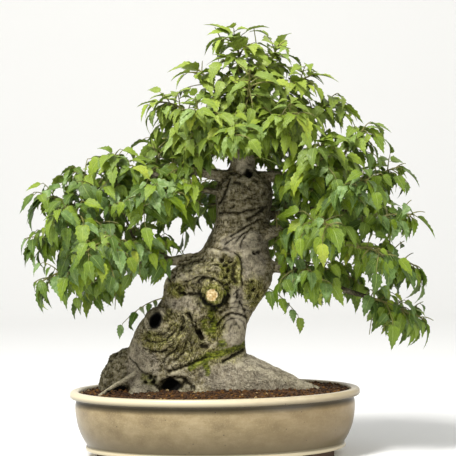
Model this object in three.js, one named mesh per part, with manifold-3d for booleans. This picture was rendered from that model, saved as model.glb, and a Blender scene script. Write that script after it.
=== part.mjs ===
// A Chinese hackberry bonsai (Celtis sinensis) in an oval glazed pot.
//
// One grown piece of wood, with its roots, trunk, burls, hollows and branches, stands in a
// plain hole in the soil. Leafy sprays carry the foliage: each is a green shoot with side
// shoots and toothed leaves, and starts where a branchlet of the wood ends. The soil fills
// a fired clay pot with four feet and two drain holes, and a plastic screen lies over each.
//
// Millimetres, +Z up. Everything is modelled round the pot's centre, with Z = 0 on the table
// and the viewer at -Y. The last step centres the whole on its own footprint.
import * as THREE from "three";
import { mergeVertices } from "three/addons/utils/BufferGeometryUtils.js";
import Module from "manifold-3d";

const wasm = await Module();
wasm.setup();

// Driving dimensions.
const POT_LENGTH = 440;
const POT_DEPTH = 324;
const POT_HEIGHT = 100;
const FOOT_HEIGHT = 10;
const FLOOR_TOP = 20;
const DRAIN_RADIUS = 12;
const DRAIN_X = 95;
const SCREEN_SIDE = 38;
const SCREEN_THICK = 1.2;
const GAP = 0.35; // between pieces that touch
const SOIL_AT_WALL = 96;
const SOIL_MOUND = 8; // how far the soil rises from the wall to the trunk
const LEAF_LENGTH = 47; // with its stalk
const LEAF_WIDTH = 23;
const LEAF_THICK = 1.6; // along the midrib, from where it thins to the edge
const STALK_SHARE = 0.13; // of the leaf's length
const SHOOT_LENGTH = 66;
const SHOOT_RISE = 10; // how far above its leaves' middle a shoot begins

const vec = (x, y, z) => new THREE.Vector3(x, y, z);
const UP = vec(0, 0, 1);
const mix = (a, b, t) => a + (b - a) * t;

// A seeded draw from 0 to 1: the same seed always gives the same number.
const draw = (seed) => {
  const s = Math.sin(seed * 12.9898 + 4.1414) * 43758.5453;
  return s - Math.floor(s);
};
const swing = (seed, reach) => (2 * draw(seed) - 1) * reach;

// Solids: a closed geometry becomes a manifold solid and comes back as a geometry.
function solidOf(geometry) {
  const bare = geometry.clone();
  bare.deleteAttribute("normal");
  bare.deleteAttribute("uv");
  const merged = mergeVertices(bare, 1e-4);
  return new wasm.Manifold(
    new wasm.Mesh({
      numProp: 3,
      vertProperties: new Float32Array(merged.attributes.position.array),
      triVerts: new Uint32Array(merged.index.array),
    }),
  );
}

function geometryOf(solid) {
  const { numProp, numVert, vertProperties, triVerts } = solid.getMesh();
  const position = new Float32Array(numVert * 3);
  for (let i = 0; i < numVert; i++) {
    position.set(vertProperties.subarray(i * numProp, i * numProp + 3), i * 3);
  }
  const geometry = new THREE.BufferGeometry();
  geometry.setAttribute("position", new THREE.BufferAttribute(position, 3));
  geometry.setIndex(new THREE.BufferAttribute(new Uint32Array(triVerts), 1));
  return geometry.toNonIndexed();
}

// Keeps the largest piece of a cut solid, so that no scrap floats loose.
function wholeBody(solid) {
  return solid.decompose().reduce((a, b) => (a.volume() > b.volume() ? a : b));
}

const fuse = (solids) => solids.reduce((a, b) => a.add(b));

function closedGeometry(points, faces) {
  const geometry = new THREE.BufferGeometry().setFromPoints(points);
  geometry.setIndex(faces.flat());
  return geometry;
}

// A tube through rings of its own radius, closed at both ends. The first and last ring can
// be told which way to face.
function tube(path, radii, sides, { startWay, endWay } = {}) {
  const last = path.length - 1;
  const points = [];
  const normal = vec(0.31, 0.17, 0.94);
  path.forEach((centre, i) => {
    let way = path[Math.min(i + 1, last)].clone().sub(path[Math.max(i - 1, 0)]);
    if (i === 0 && startWay) way = startWay.clone();
    if (i === last && endWay) way = endWay.clone();
    way.normalize();
    normal.addScaledVector(way, -normal.dot(way)).normalize();
    const binormal = way.cross(normal);
    for (let k = 0; k < sides; k++) {
      const angle = (k / sides) * 2 * Math.PI;
      points.push(
        centre
          .clone()
          .addScaledVector(normal, radii[i] * Math.cos(angle))
          .addScaledVector(binormal, radii[i] * Math.sin(angle)),
      );
    }
  });
  const faces = [];
  for (let i = 0; i < last; i++) {
    for (let k = 0; k < sides; k++) {
      const a = i * sides + k;
      const b = i * sides + ((k + 1) % sides);
      faces.push([a, b, b + sides], [a, b + sides, a + sides]);
    }
  }
  const end = last * sides;
  for (let k = 1; k < sides - 1; k++) {
    faces.push([0, k + 1, k], [end, end + k, end + k + 1]);
  }
  return closedGeometry(points, faces);
}

// Points at even steps along a smooth curve through a few given ones, with radii between.
function smoothTube(stops, steps, sides, ways) {
  const curve = new THREE.CatmullRomCurve3(stops.map(([x, y, z]) => vec(x, y, z)));
  const path = [];
  const radii = [];
  for (let i = 0; i <= steps; i++) {
    const at = (i / steps) * (stops.length - 1);
    const low = Math.min(Math.floor(at), stops.length - 2);
    path.push(curve.getPoint(i / steps));
    radii.push(mix(stops[low][3], stops[low + 1][3], at - low));
  }
  return tube(path, radii, sides, ways);
}

// The pot.
const POT_STRETCH = (POT_LENGTH - POT_DEPTH) / 2; // how much longer the half length is
const POT_SEGMENTS = 34;
const FLOOR_RADIUS = 130; // half depth where the floor meets the wall

// Moves a round piece's points outwards along X, so that it turns oval with an even wall.
function makeOval(geometry) {
  const at = geometry.attributes.position;
  for (let i = 0; i < at.count; i++) {
    const x = at.getX(i);
    const radius = Math.hypot(x, at.getY(i));
    if (radius > 1e-6) {
      at.setX(i, x + (x / radius) * POT_STRETCH * Math.min(1, radius / FLOOR_RADIUS));
    }
  }
  return geometry;
}

// A profile of [half depth, height] pairs, turned round the pot's upright axis and made oval.
function ovalTurning(profile) {
  const turned = new THREE.LatheGeometry(
    profile.map(([r, z]) => new THREE.Vector2(r, z)),
    POT_SEGMENTS,
  ).rotateX(Math.PI / 2);
  return makeOval(turned);
}

const POT_INSIDE = [
  [148, POT_HEIGHT - 2],
  [145, 50],
  [FLOOR_RADIUS, FLOOR_TOP],
];

const POT_OUTSIDE = [
  [0, FOOT_HEIGHT],
  [134, FOOT_HEIGHT],
  [139.5, 13.5],
  [138.3, 19.5],
  [147, 36],
  [152.5, 54],
  [154.4, 75],
  [153.6, 82],
  [151.6, 87.3],
  [158.8, 89],
  [POT_DEPTH / 2, 92],
  [POT_DEPTH / 2 - 0.4, 96.6],
  [158, 99.6],
  [154, POT_HEIGHT],
];

// A foot is a short block that follows the oval edge of the base.
function foot(quadrantX, quadrantY) {
  const FROM = 24;
  const TO = 44;
  const OUTER = 136;
  const INNER = 120;
  const edge = (radius, degrees) => {
    const angle = (degrees * Math.PI) / 180;
    return new THREE.Vector2(
      quadrantX * (radius + POT_STRETCH) * Math.cos(angle),
      quadrantY * radius * Math.sin(angle),
    );
  };
  const steps = [0, 1, 2, 3].map((i) => mix(FROM, TO, i / 3));
  const outline = [
    ...steps.map((a) => edge(OUTER, a)),
    ...steps.reverse().map((a) => edge(INNER, a)),
  ];
  return new THREE.ExtrudeGeometry(new THREE.Shape(outline), {
    depth: FOOT_HEIGHT + 2,
    bevelEnabled: false,
  });
}

function makePot() {
  const shell = ovalTurning([...POT_OUTSIDE, ...POT_INSIDE, [0, FLOOR_TOP]]);
  let pot = solidOf(shell);
  for (const x of [-1, 1]) {
    for (const y of [-1, 1]) pot = pot.add(solidOf(foot(x, y)));
    const drain = new THREE.CylinderGeometry(DRAIN_RADIUS, DRAIN_RADIUS, 30, 14)
      .rotateX(Math.PI / 2)
      .translate(x * DRAIN_X, 0, FLOOR_TOP - 5);
    pot = pot.subtract(solidOf(drain));
  }
  return pot;
}

// A square of plastic mesh over a drain hole.
function makeScreen(x) {
  const HOLES = 2;
  const BAR = 3;
  const pitch = (SCREEN_SIDE - BAR) / HOLES;
  const level = FLOOR_TOP + GAP + SCREEN_THICK / 2;
  let screen = solidOf(
    new THREE.BoxGeometry(SCREEN_SIDE, SCREEN_SIDE, SCREEN_THICK).translate(x, 0, level),
  );
  for (let i = 0; i < HOLES; i++) {
    for (let j = 0; j < HOLES; j++) {
      const hole = new THREE.BoxGeometry(pitch - BAR, pitch - BAR, 4 * SCREEN_THICK);
      hole.translate(x + (i - 0.5) * pitch, (j - 0.5) * pitch, level);
      screen = screen.subtract(solidOf(hole));
    }
  }
  return geometryOf(screen);
}

// The wood. Every list below is [x, y, z, radius], or says what else its numbers are.

// The trunk's outline: height, centre x and y, half width and half depth.
const TRUNK = [
  [58, -30, 5, 42, 36],
  [84, -38, 0, 80, 60],
  [102, -42, 0, 90, 68],
  [124, -42, 0, 91, 66],
  [150, -40, 0, 90, 62],
  [173, -38, 0, 85, 59],
  [190, -34, 0, 80, 57],
  [205, -27, 0, 76, 55],
  [220, -14, 0, 72, 53],
  [236, -3, 0, 68, 51],
  [252, 8, 0, 67, 50],
  [271, 18, 0, 64, 48],
  [290, 26, 1, 56, 46],
  [309, 33, 2, 46, 43],
  [324, 35, 3, 45, 41],
  [340, 42, 3, 41, 39],
  [356, 45, 4, 39, 37],
  [374, 46, 4, 38.5, 36],
  [392, 46, 5, 39.5, 36],
  [406, 47, 5, 39, 35],
  [417, 47, 5, 33, 31],
  [424, 47, 5, 24, 23],
];
const TRUNK_COLUMNS = 20;
const TRUNK_RINGS = 20;

// Swellings of the trunk, and where its surface draws in: centre, reach and rise.
const SWELLINGS = [
  [-30, -30, 276, 34, 17], // the burl's shoulder under the lowest left branch
  [-62, -14, 272, 26, 20],
  [-2, -50, 245, 30, 13], // the collar round the sawn stub
  [27, -46, 186, 20, 10], // the healed knob low on the right
  [-92, -32, 200, 24, 12], // the lip of the hollow
  [-60, -52, 176, 24, 8],
  [68, -10, 262, 34, 10],
  [54, -14, 206, 34, 4],
  [76, 4, 392, 20, 7],
  [30, 44, 250, 36, 12], // the back has burls of its own
  [-50, 48, 190, 34, 11],
  [60, 38, 330, 26, 8],
  [-20, 54, 130, 30, 9],
  [6, -46, 215, 16, -6], // creases between the swellings
  [-34, -58, 190, 14, -9],
  [-66, -60, 140, 18, -6],
  [-2, -20, 318, 18, -5],
  [30, -38, 330, 22, -5],
];

const ROOTS = [
  [[-5, -18, 122, 44], [48, -22, 110, 42], [93, -22, 103, 28], [126, -20, 98, 17], [163, -16, 92, 7]],
  [[-28, -18, 118, 40], [-22, -48, 102, 24], [-18, -70, 92, 10], [-16, -84, 85, 5]],
  [[-84, -14, 118, 38], [-104, -38, 102, 24], [-120, -56, 93, 11], [-130, -68, 86, 5]],
  [[-96, 10, 118, 32], [-128, 44, 100, 17], [-148, 64, 92, 9], [-160, 76, 85, 5]],
  [[-50, 20, 120, 40], [-54, 64, 101, 22], [-56, 92, 92, 11], [-58, 112, 85, 5]],
  [[-4, 18, 120, 40], [34, 54, 101, 22], [58, 78, 92, 11], [74, 96, 85, 5]],
];
// The mossy knob left of the foot, and the pale root that crosses in front of it.
const ROOT_KNOB = { at: [-142, 12, 114], radii: [32, 32, 50], lean: 0.42 };
const PALE_ROOT = [[-110, -28, 132, 4.8], [-130, -38, 120, 4.4], [-148, -46, 111, 3.8], [-178, -56, 92, 3]];

// What is cut out of the wood: centre, radii, and the way that the hollow faces.
const HOLLOWS = [
  { at: [-87, -45, 206], radii: [14, 10.5, 24], faces: [-0.4, -0.89, 0.15] },
  { at: [-68, -68, 109], radii: [14, 17, 22], faces: [0.05, -0.99, -0.05] },
  { at: [44, -24, 422], radii: [6.5, 6.5, 14], faces: [-0.05, -0.98, 0.15] },
  { at: [-20, -56, 187], radii: [3.5, 17, 12], faces: [0.1, -0.99, 0.05] },
];
// The sawn stub: a ring of callus with a short stump of bare wood in it.
const STUB = { at: [-2, -64, 244], faces: [-0.1, -0.97, 0.12], ring: 17, rim: 6.5, stump: 9 };
// The hollow's callus lip.
const LIP = { at: [-86, -43, 206], faces: [-0.42, -0.9, 0.1], ring: 17, rim: 6 };
// Ridges of callus that swirl over the burl and under the hollow.
const RIDGES = [
  [[-56, -36, 246, 8], [-44, -54, 272, 9], [-8, -62, 283, 9], [24, -56, 262, 8], [26, -48, 228, 5]],
  [[-112, -26, 180, 6], [-86, -50, 170, 8], [-52, -66, 176, 8], [-30, -66, 206, 6]],
];

// The limbs. Each one's end, where its last shoot sets out, is the seat of a spray.
const LIMBS = [
  {
    to: "top_01",
    stops: [
      [47, 5, 405, 26],
      [47, 5, 430, 20],
      [48, 6, 462, 15],
      [52, 8, 505, 11],
      [56, 4, 550, 7],
    ],
  },
  {
    to: "left_06",
    stops: [
      [0, 0, 290, 15],
      [-45, -8, 295, 8.5],
      [-80, -14, 293, 6.5],
      [-125, -8, 298, 5.4],
      [-175, 2, 309, 4.4],
    ],
  },
  {
    to: "left_12",
    stops: [
      [-98, -12, 300, 5],
      [-118, -44, 311, 4],
      [-134, -70, 314, 3.6],
    ],
  },
  {
    to: "left_13",
    stops: [
      [-70, -13, 299, 5.4],
      [-92, 30, 307, 4.4],
      [-106, 66, 306, 3.8],
    ],
  },
  {
    to: "left_01",
    stops: [
      [36, 4, 414, 15],
      [0, 0, 424, 8.5],
      [-40, -6, 430, 7],
      [-85, 2, 422, 6],
      [-135, -6, 414, 5],
      [-180, -8, 400, 4],
    ],
  },
  {
    to: "left_09",
    stops: [
      [20, -8, 394, 7],
      [-14, -16, 400, 4],
      [-48, -34, 400, 3.4],
    ],
  },
  {
    to: "right_03",
    stops: [
      [60, 4, 412, 14],
      [96, -2, 420, 8],
      [140, -8, 416, 6.5],
      [192, 2, 416, 5],
    ],
  },
  {
    to: "right_06",
    stops: [
      [60, -2, 330, 16],
      [108, -10, 338, 7.5],
      [160, -4, 334, 6],
      [215, -16, 340, 4.6],
    ],
  },
  {
    to: "right_12",
    stops: [
      [50, 0, 276, 17],
      [92, -6, 284, 8.5],
      [132, -12, 272, 7],
      [184, -8, 250, 5],
      [232, -14, 236, 3.8],
    ],
  },
  {
    to: "right_07",
    stops: [
      [50, 20, 350, 14],
      [92, 50, 360, 6.5],
      [140, 70, 368, 5],
    ],
  },
  {
    to: "back_01",
    stops: [
      [40, 24, 366, 13],
      [38, 62, 388, 6.5],
    ],
  },
  {
    to: "top_06",
    stops: [
      [48, 5, 452, 10],
      [10, -2, 480, 6],
      [-22, 0, 500, 4.6],
    ],
  },
  {
    to: "top_10",
    stops: [
      [50, 7, 486, 9],
      [92, 4, 508, 5.5],
      [128, 10, 508, 4],
    ],
  },
  {
    to: "top_13",
    stops: [
      [48, 4, 440, 10],
      [42, -40, 462, 5.5],
    ],
  },
  {
    to: "top_12",
    stops: [
      [50, 7, 468, 9],
      [74, 48, 482, 5],
    ],
  },
];
const SHARE_FREE = 0.3; // no branchlet leaves the first part of a limb

// The sprays: a name, the middle of its leaves, and the heart of the crown that it grows from.
const LEFT = [-110, 0, 335];
const TOP = [48, 0, 480];
const RIGHT = [135, 0, 330];
const BACK = [45, 0, 370];
const SPRAYS = [
  ["left_01", [-234, -10, 388], LEFT],
  ["left_02", [-194, 30, 422], LEFT],
  ["left_03", [-142, -30, 438], LEFT],
  ["left_04", [-84, 40, 440], LEFT],
  ["left_05", [-32, -20, 440], TOP],
  ["left_06", [-243, 20, 332], LEFT],
  ["left_07", [-212, -80, 365], LEFT],
  ["left_08", [-150, 105, 385], LEFT],
  ["left_09", [-100, -95, 392], LEFT],
  ["left_10", [-46, 60, 380], BACK],
  ["left_11", [-220, -40, 280], LEFT],
  ["left_12", [-170, -125, 318], LEFT],
  ["left_13", [-125, 125, 310], LEFT],
  ["left_14", [-165, 40, 262], LEFT],
  ["left_15", [-200, 95, 325], LEFT],
  ["top_01", [44, -5, 612], TOP],
  ["top_02", [98, 10, 600], TOP],
  ["top_03", [-8, 15, 572], TOP],
  ["top_04", [60, -75, 560], TOP],
  ["top_05", [130, -20, 556], TOP],
  ["top_06", [-60, -14, 526], TOP],
  ["top_07", [-18, -80, 510], TOP],
  ["top_08", [50, 90, 545], TOP],
  ["top_09", [112, -90, 505], TOP],
  ["top_10", [166, 10, 520], TOP],
  ["top_11", [-58, 75, 480], TOP],
  ["top_12", [120, 105, 490], TOP],
  ["top_13", [30, -115, 478], TOP],
  ["right_01", [212, -20, 470], RIGHT],
  ["right_02", [160, -100, 450], RIGHT],
  ["right_03", [260, 20, 420], RIGHT],
  ["right_04", [212, -115, 402], RIGHT],
  ["right_05", [150, 115, 420], RIGHT],
  ["right_06", [276, -30, 356], RIGHT],
  ["right_07", [236, 100, 375], RIGHT],
  ["right_08", [160, -125, 345], RIGHT],
  ["right_09", [282, 0, 288], RIGHT],
  ["right_10", [238, -100, 305], RIGHT],
  ["right_11", [140, -60, 275], RIGHT],
  ["right_12", [288, -20, 212], RIGHT],
  ["right_13", [200, 60, 262], RIGHT],
  ["right_14", [262, -50, 222], RIGHT],
  ["back_01", [20, 140, 412], BACK],
  ["back_02", [120, 120, 330], BACK],
];

// A spray sets out away from its heart, never steeply down, and begins before its leaves.
function seatOf([, middle, heart]) {
  const direction = vec(...middle).sub(vec(...heart)).normalize();
  direction.z = Math.max(direction.z + 0.25, -0.1);
  direction.normalize();
  const seat = vec(...middle).addScaledVector(direction, -SHOOT_LENGTH * 0.6);
  seat.z += SHOOT_RISE;
  return { seat, direction };
}

const seats = new Map(SPRAYS.map((spray) => [spray[0], seatOf(spray)]));
for (const limb of LIMBS) limb.stops.push([...seats.get(limb.to).seat, 2.4]);

function makeTrunkBody(grow) {
  const column = new THREE.CatmullRomCurve3(TRUNK.map(([z, x, y]) => vec(x, y, z)));
  const girth = new THREE.CatmullRomCurve3(TRUNK.map(([, , , w, d]) => vec(w, d, 0)));
  const body = new THREE.CylinderGeometry(1, 1, 1, TRUNK_COLUMNS, TRUNK_RINGS);
  body.deleteAttribute("normal");
  body.deleteAttribute("uv");
  const merged = mergeVertices(body, 1e-4);
  const at = merged.attributes.position;
  for (let i = 0; i < at.count; i++) {
    const t = at.getY(i) + 0.5;
    const outward = Math.hypot(at.getX(i), at.getZ(i));
    const angle = Math.atan2(at.getZ(i), at.getX(i));
    const centre = column.getPoint(t);
    const size = girth.getPoint(t);
    const flutes = 1 + 0.035 * Math.sin(5 * angle + 1.3 + 0.02 * centre.z) + 0.02 * Math.sin(9 * angle);
    const point = vec(
      centre.x + outward * (size.x * flutes + grow) * Math.cos(angle),
      centre.y - outward * (size.y * flutes + grow) * Math.sin(angle),
      centre.z,
    );
    if (outward > 0.5) {
      const away = vec(Math.cos(angle), -Math.sin(angle), 0);
      for (const [x, y, z, reach, rise] of SWELLINGS) {
        const near = point.distanceToSquared(vec(x, y, z)) / (reach * reach);
        point.addScaledVector(away, rise * Math.exp(-near));
      }
    }
    at.setXYZ(i, point.x, point.y, point.z);
  }
  return merged;
}

// An ellipsoid cutter or knob whose long way points along a direction.
function ellipsoid(radii, at, faces = [0, 0, 1], width = 8, height = 5) {
  const turn = new THREE.Quaternion().setFromUnitVectors(UP, vec(...faces).normalize());
  return new THREE.SphereGeometry(1, width, height)
    .rotateX(Math.PI / 2)
    .scale(...radii)
    .applyQuaternion(turn)
    .translate(...at);
}

// The foot of the tree, as deep as the soil and grown by the gap where it cuts the soil's hole.
function makeFoot(grow) {
  const pieces = [makeTrunkBody(grow)];
  for (const root of ROOTS) {
    const grown = root.map(([x, y, z, r]) => [x, y, z, r + grow]);
    pieces.push(smoothTube(grown, 4, 6));
  }
  pieces.push(smoothTube(PALE_ROOT.map(([x, y, z, r]) => [x, y, z, r + grow]), 3, 5));
  const [rx, ry, rz] = ROOT_KNOB.radii;
  pieces.push(
    ellipsoid([rx + grow, ry + grow, rz + grow], ROOT_KNOB.at, [ROOT_KNOB.lean, 0, 1], 9, 6),
  );
  return fuse(pieces.map(solidOf));
}

function makeCallus() {
  const turnTo = (faces) =>
    new THREE.Quaternion().setFromUnitVectors(UP, vec(...faces).normalize());
  const rings = [STUB, LIP].map(({ at, faces, ring, rim }) =>
    new THREE.TorusGeometry(ring, rim, 5, 9).applyQuaternion(turnTo(faces)).translate(...at),
  );
  const inside = vec(...STUB.at).addScaledVector(vec(...STUB.faces), -9);
  const stump = new THREE.CylinderGeometry(STUB.stump, STUB.stump + 2, 26, 8)
    .rotateX(Math.PI / 2)
    .applyQuaternion(turnTo(STUB.faces))
    .translate(...inside.toArray());
  const ridges = RIDGES.map((stops) => smoothTube(stops, 5, 5));
  return [...rings, stump, ...ridges].map(solidOf);
}

// A branchlet leaves the limb that passes its seat best, along it, and bends out to the seat.
const limbCurves = LIMBS.map(
  ({ stops }) => new THREE.CatmullRomCurve3(stops.map(([x, y, z]) => vec(x, y, z))),
);

function branchlet({ seat, direction }) {
  const SAMPLES = 16;
  let best = Infinity;
  let from;
  let along;
  for (const curve of limbCurves) {
    for (let i = 0; i < SAMPLES; i++) {
      const share = mix(SHARE_FREE, 0.96, i / (SAMPLES - 1));
      const point = curve.getPoint(share);
      const tangent = curve.getTangent(share);
      const way = seat.clone().sub(point);
      const turn = 1 - way.clone().normalize().dot(tangent);
      const cost = way.length() * (1 + 0.5 * turn);
      if (cost < best) {
        best = cost;
        from = point;
        along = tangent;
      }
    }
  }
  const reach = from.distanceTo(seat);
  const knee = from
    .clone()
    .addScaledVector(along, reach * 0.25)
    .lerp(seat.clone().addScaledVector(direction, -reach * 0.25), 0.5);
  return [from, knee, seat];
}

function makeWood() {
  let wood = makeFoot(0);
  for (const { to, stops } of LIMBS) {
    const endWay = seats.get(to).direction;
    wood = wood.add(solidOf(smoothTube(stops, stops.length, to === "top_01" ? 8 : 5, { endWay })));
  }
  const ends = LIMBS.map(({ to }) => to);
  for (const [name, start] of seats) {
    if (ends.includes(name)) continue;
    const [from, knee, seat] = branchlet(start);
    const stops = [[...from, 3.8], [...knee, 3.1], [...seat, 2.4]];
    wood = wood.add(solidOf(smoothTube(stops, 2, 3, { endWay: start.direction })));
  }
  for (const piece of makeCallus()) wood = wood.add(piece);
  for (const { at, radii, faces } of HOLLOWS) {
    wood = wood.subtract(solidOf(ellipsoid(radii, at, faces)));
  }
  return wholeBody(wood);
}

// The soil: a mound in crumbs that fills the pot, with a plain hole for the foot of the tree.
function makeSoil() {
  const RINGS = 3;
  const wallAt = (z) => {
    const above = POT_INSIDE.findIndex(([, height]) => height <= z);
    const [r0, z0] = POT_INSIDE[above];
    const [r1, z1] = POT_INSIDE[above - 1];
    return mix(r0, r1, (z - z0) / (z1 - z0)) - GAP;
  };
  const profile = [
    [0, FLOOR_TOP + GAP],
    [FLOOR_RADIUS - 1, FLOOR_TOP + GAP],
    [wallAt(50), 50],
    [wallAt(SOIL_AT_WALL), SOIL_AT_WALL],
  ];
  const edge = wallAt(SOIL_AT_WALL);
  for (let i = 1; i <= RINGS; i++) {
    const share = 1 - i / RINGS;
    profile.push([edge * share, SOIL_AT_WALL + SOIL_MOUND * (1 - share ** 2)]);
  }
  const turned = makeOval(
    new THREE.LatheGeometry(
      profile.map(([r, z]) => new THREE.Vector2(r, z)),
      POT_SEGMENTS,
    ).rotateX(Math.PI / 2),
  );
  turned.deleteAttribute("normal");
  turned.deleteAttribute("uv");
  const mound = mergeVertices(turned, 1e-3);
  const at = mound.attributes.position;
  for (let i = 0; i < at.count; i++) {
    const inside = Math.hypot(at.getX(i) / POT_LENGTH, at.getY(i) / POT_DEPTH) < 0.44;
    if (at.getZ(i) > SOIL_AT_WALL + 1 && inside) {
      at.setX(i, at.getX(i) + swing(3 * i, 4));
      at.setY(i, at.getY(i) + swing(3 * i + 1, 4));
      at.setZ(i, at.getZ(i) + swing(3 * i + 2, 2));
    }
  }
  let soil = solidOf(mound).subtract(makeFoot(GAP));
  for (const x of [-DRAIN_X, DRAIN_X]) {
    const side = SCREEN_SIDE + 2 * GAP;
    const pocket = new THREE.BoxGeometry(side, side, 6).translate(
      x,
      0,
      FLOOR_TOP + GAP + SCREEN_THICK + GAP - 3,
    );
    soil = soil.subtract(solidOf(pocket));
  }
  return wholeBody(soil);
}

// A shoot is a start, a direction, a length and a bend: p + length (t d + t² bend), in steps.
const shootCurve = (shoot, t) =>
  shoot.start
    .clone()
    .addScaledVector(shoot.direction, shoot.length * t)
    .addScaledVector(shoot.bend, shoot.length * t * t);
function shootPoint(shoot, t) {
  const step = Math.min(Math.floor(t * shoot.steps), shoot.steps - 1);
  const low = shootCurve(shoot, step / shoot.steps);
  const high = shootCurve(shoot, (step + 1) / shoot.steps);
  return low.lerp(high, t * shoot.steps - step);
}
const shootWay = (shoot, t) =>
  shoot.direction.clone().addScaledVector(shoot.bend, 2 * t).normalize();

// The shoots of one spray: a main one, and a side shoot that leaves it left or right.
const SIDE_SHOOT = { at: 0.25, length: 0.66 };

function shootsOf({ seat, direction }, seed) {
  const main = {
    start: seat.clone().addScaledVector(direction, GAP),
    direction,
    length: SHOOT_LENGTH,
    bend: vec(swing(seed + 1, 0.12), swing(seed + 2, 0.12), -0.28),
    thick: 2.4,
    thin: 1.3,
    steps: 3,
  };
  const way = shootWay(main, SIDE_SHOOT.at);
  const across = UP.clone().cross(way).normalize();
  const angle = 0.95 + swing(seed + 5, 0.18);
  const turn = draw(seed + 4) < 0.5 ? -1 : 1;
  const side = {
    start: shootPoint(main, SIDE_SHOOT.at),
    direction: way
      .clone()
      .multiplyScalar(Math.cos(angle))
      .addScaledVector(across, turn * Math.sin(angle))
      .addScaledVector(UP, 0.1 + swing(seed + 9, 0.15))
      .normalize(),
    length: SHOOT_LENGTH * SIDE_SHOOT.length * (1 + swing(seed + 13, 0.12)),
    bend: vec(0, 0, -0.3),
    thick: 1.7,
    thin: 1.1,
    steps: 2,
  };
  return [main, side];
}

function shootSolid(shoot) {
  const path = [];
  const radii = [];
  for (let i = 0; i <= shoot.steps; i++) {
    const t = i / shoot.steps;
    path.push(shootPoint(shoot, t));
    radii.push(mix(shoot.thick, shoot.thin, t));
  }
  return solidOf(tube(path, radii, 3, { startWay: shoot.direction }));
}

// A leaf hangs on an arc. Its blade is [share of the length, share of the half width].
const LEAF_MIDDLE = 0.46;
const LEAF_EDGE = [
  [STALK_SHARE, 0.06],
  [0.27, 0.82],
  [0.48, 1.02],
  [0.56, 0.78],
];

function leafFrame(leaf, s) {
  const turned = leaf.droop * s;
  const away = leaf.length * (Math.sin(turned) / leaf.droop);
  const down = leaf.length * ((1 - Math.cos(turned)) / leaf.droop);
  return {
    middle: leaf.root
      .clone()
      .addScaledVector(leaf.axis, away)
      .addScaledVector(leaf.face, -down),
    face: leaf.face
      .clone()
      .multiplyScalar(Math.cos(turned))
      .addScaledVector(leaf.axis, Math.sin(turned)),
  };
}

function leafSolid(leaf, extra = 0) {
  const across = leaf.axis.clone().cross(leaf.face);
  const { middle, face } = leafFrame(leaf, LEAF_MIDDLE);
  const half = LEAF_THICK / 2 + extra;
  const points = [
    leafFrame(leaf, 0).middle,
    leafFrame(leaf, 1).middle,
    middle.clone().addScaledVector(face, half),
    middle.clone().addScaledVector(face, -half),
  ];
  for (const side of [1, -1]) {
    for (const [s, share] of LEAF_EDGE) {
      const out = (leaf.width / 2) * share + extra;
      const here = leafFrame(leaf, s);
      points.push(
        here.middle
          .addScaledVector(across, side * out)
          .addScaledVector(here.face, out * leaf.fold),
      );
    }
  }
  const ROOT = 0;
  const TIP = 1;
  const faces = [];
  for (const [side, first] of [[0, 4], [1, 4 + LEAF_EDGE.length]]) {
    const chain = [ROOT, ...LEAF_EDGE.map((_, i) => first + i), TIP];
    for (let i = 0; i < chain.length - 1; i++) {
      for (const [onTop, peak] of [[0, 2], [1, 3]]) {
        const edge = [chain[i], chain[i + 1], peak];
        faces.push(side === onTop ? edge : edge.reverse());
      }
    }
  }
  return solidOf(closedGeometry(points, faces));
}

// Where leaves sit on a shoot, as shares of its length. The last one ends the shoot.
const LEAVES_ON = [
  [0.14, 0.42, 0.7, 1],
  [0.55, 1],
];

// A leaf leaves its shoot to the side and outwards. High in the crown it lies flat, and low
// down it hangs, with its upper face turned out.
function leafAt(shoot, t, side, seed, attempt) {
  const way = shootWay(shoot, Math.min(t, 0.98));
  const across = UP.clone().cross(way).normalize();
  const root = shootPoint(shoot, Math.min(t, 0.985));
  const hang = THREE.MathUtils.clamp((640 - root.z) / 340, 0.15, 0.9);
  const spread = t === 1 ? swing(seed, 0.3) : side * (1 + swing(seed, 0.3));
  const turn = spread + swing(seed + 31 * attempt, 0.12 * Math.min(attempt, 4));
  const axis = way
    .clone()
    .multiplyScalar(Math.cos(turn))
    .addScaledVector(across, Math.sin(turn))
    .addScaledVector(UP, -0.9 * hang + swing(seed + 1 + 17 * attempt, 0.4))
    .normalize();
  const outward = vec(way.x, way.y, 0).normalize();
  const face = UP.clone()
    .addScaledVector(outward, 0.3 + 0.7 * hang)
    .addScaledVector(across, swing(seed + 2 + 13 * attempt, 0.5));
  face.addScaledVector(axis, -face.dot(axis)).normalize();
  const size = 0.84 + 0.32 * draw(seed + 3) - 0.02 * attempt;
  return {
    root,
    axis,
    face,
    length: LEAF_LENGTH * size,
    width: LEAF_WIDTH * size * (0.92 + 0.16 * draw(seed + 4)),
    droop: 0.6 + 0.5 * draw(seed + 5 + 7 * attempt),
    fold: 0.22 + 0.16 * draw(seed + 6),
  };
}

const overlaps = (a, b) =>
  a.min[0] < b.max[0] && b.min[0] < a.max[0] &&
  a.min[1] < b.max[1] && b.min[1] < a.max[1] &&
  a.min[2] < b.max[2] && b.min[2] < a.max[2];

// Pieces in place, so that a new one can be tried against its neighbours.
const placed = [];
const boundsOf = (solid) => {
  const { min, max } = solid.boundingBox();
  return { min, max };
};
const place = (solid, owner) => placed.push({ solid, owner, box: boundsOf(solid) });
function isClear(solid, owner) {
  const box = boundsOf(solid);
  return placed.every(
    (piece) =>
      piece.owner === owner ||
      !overlaps(box, piece.box) ||
      solid.intersect(piece.solid).isEmpty(),
  );
}

const ATTEMPTS = 12;
const CLEARANCE = 0.5;
const SEED_STEP = 1000;

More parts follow.
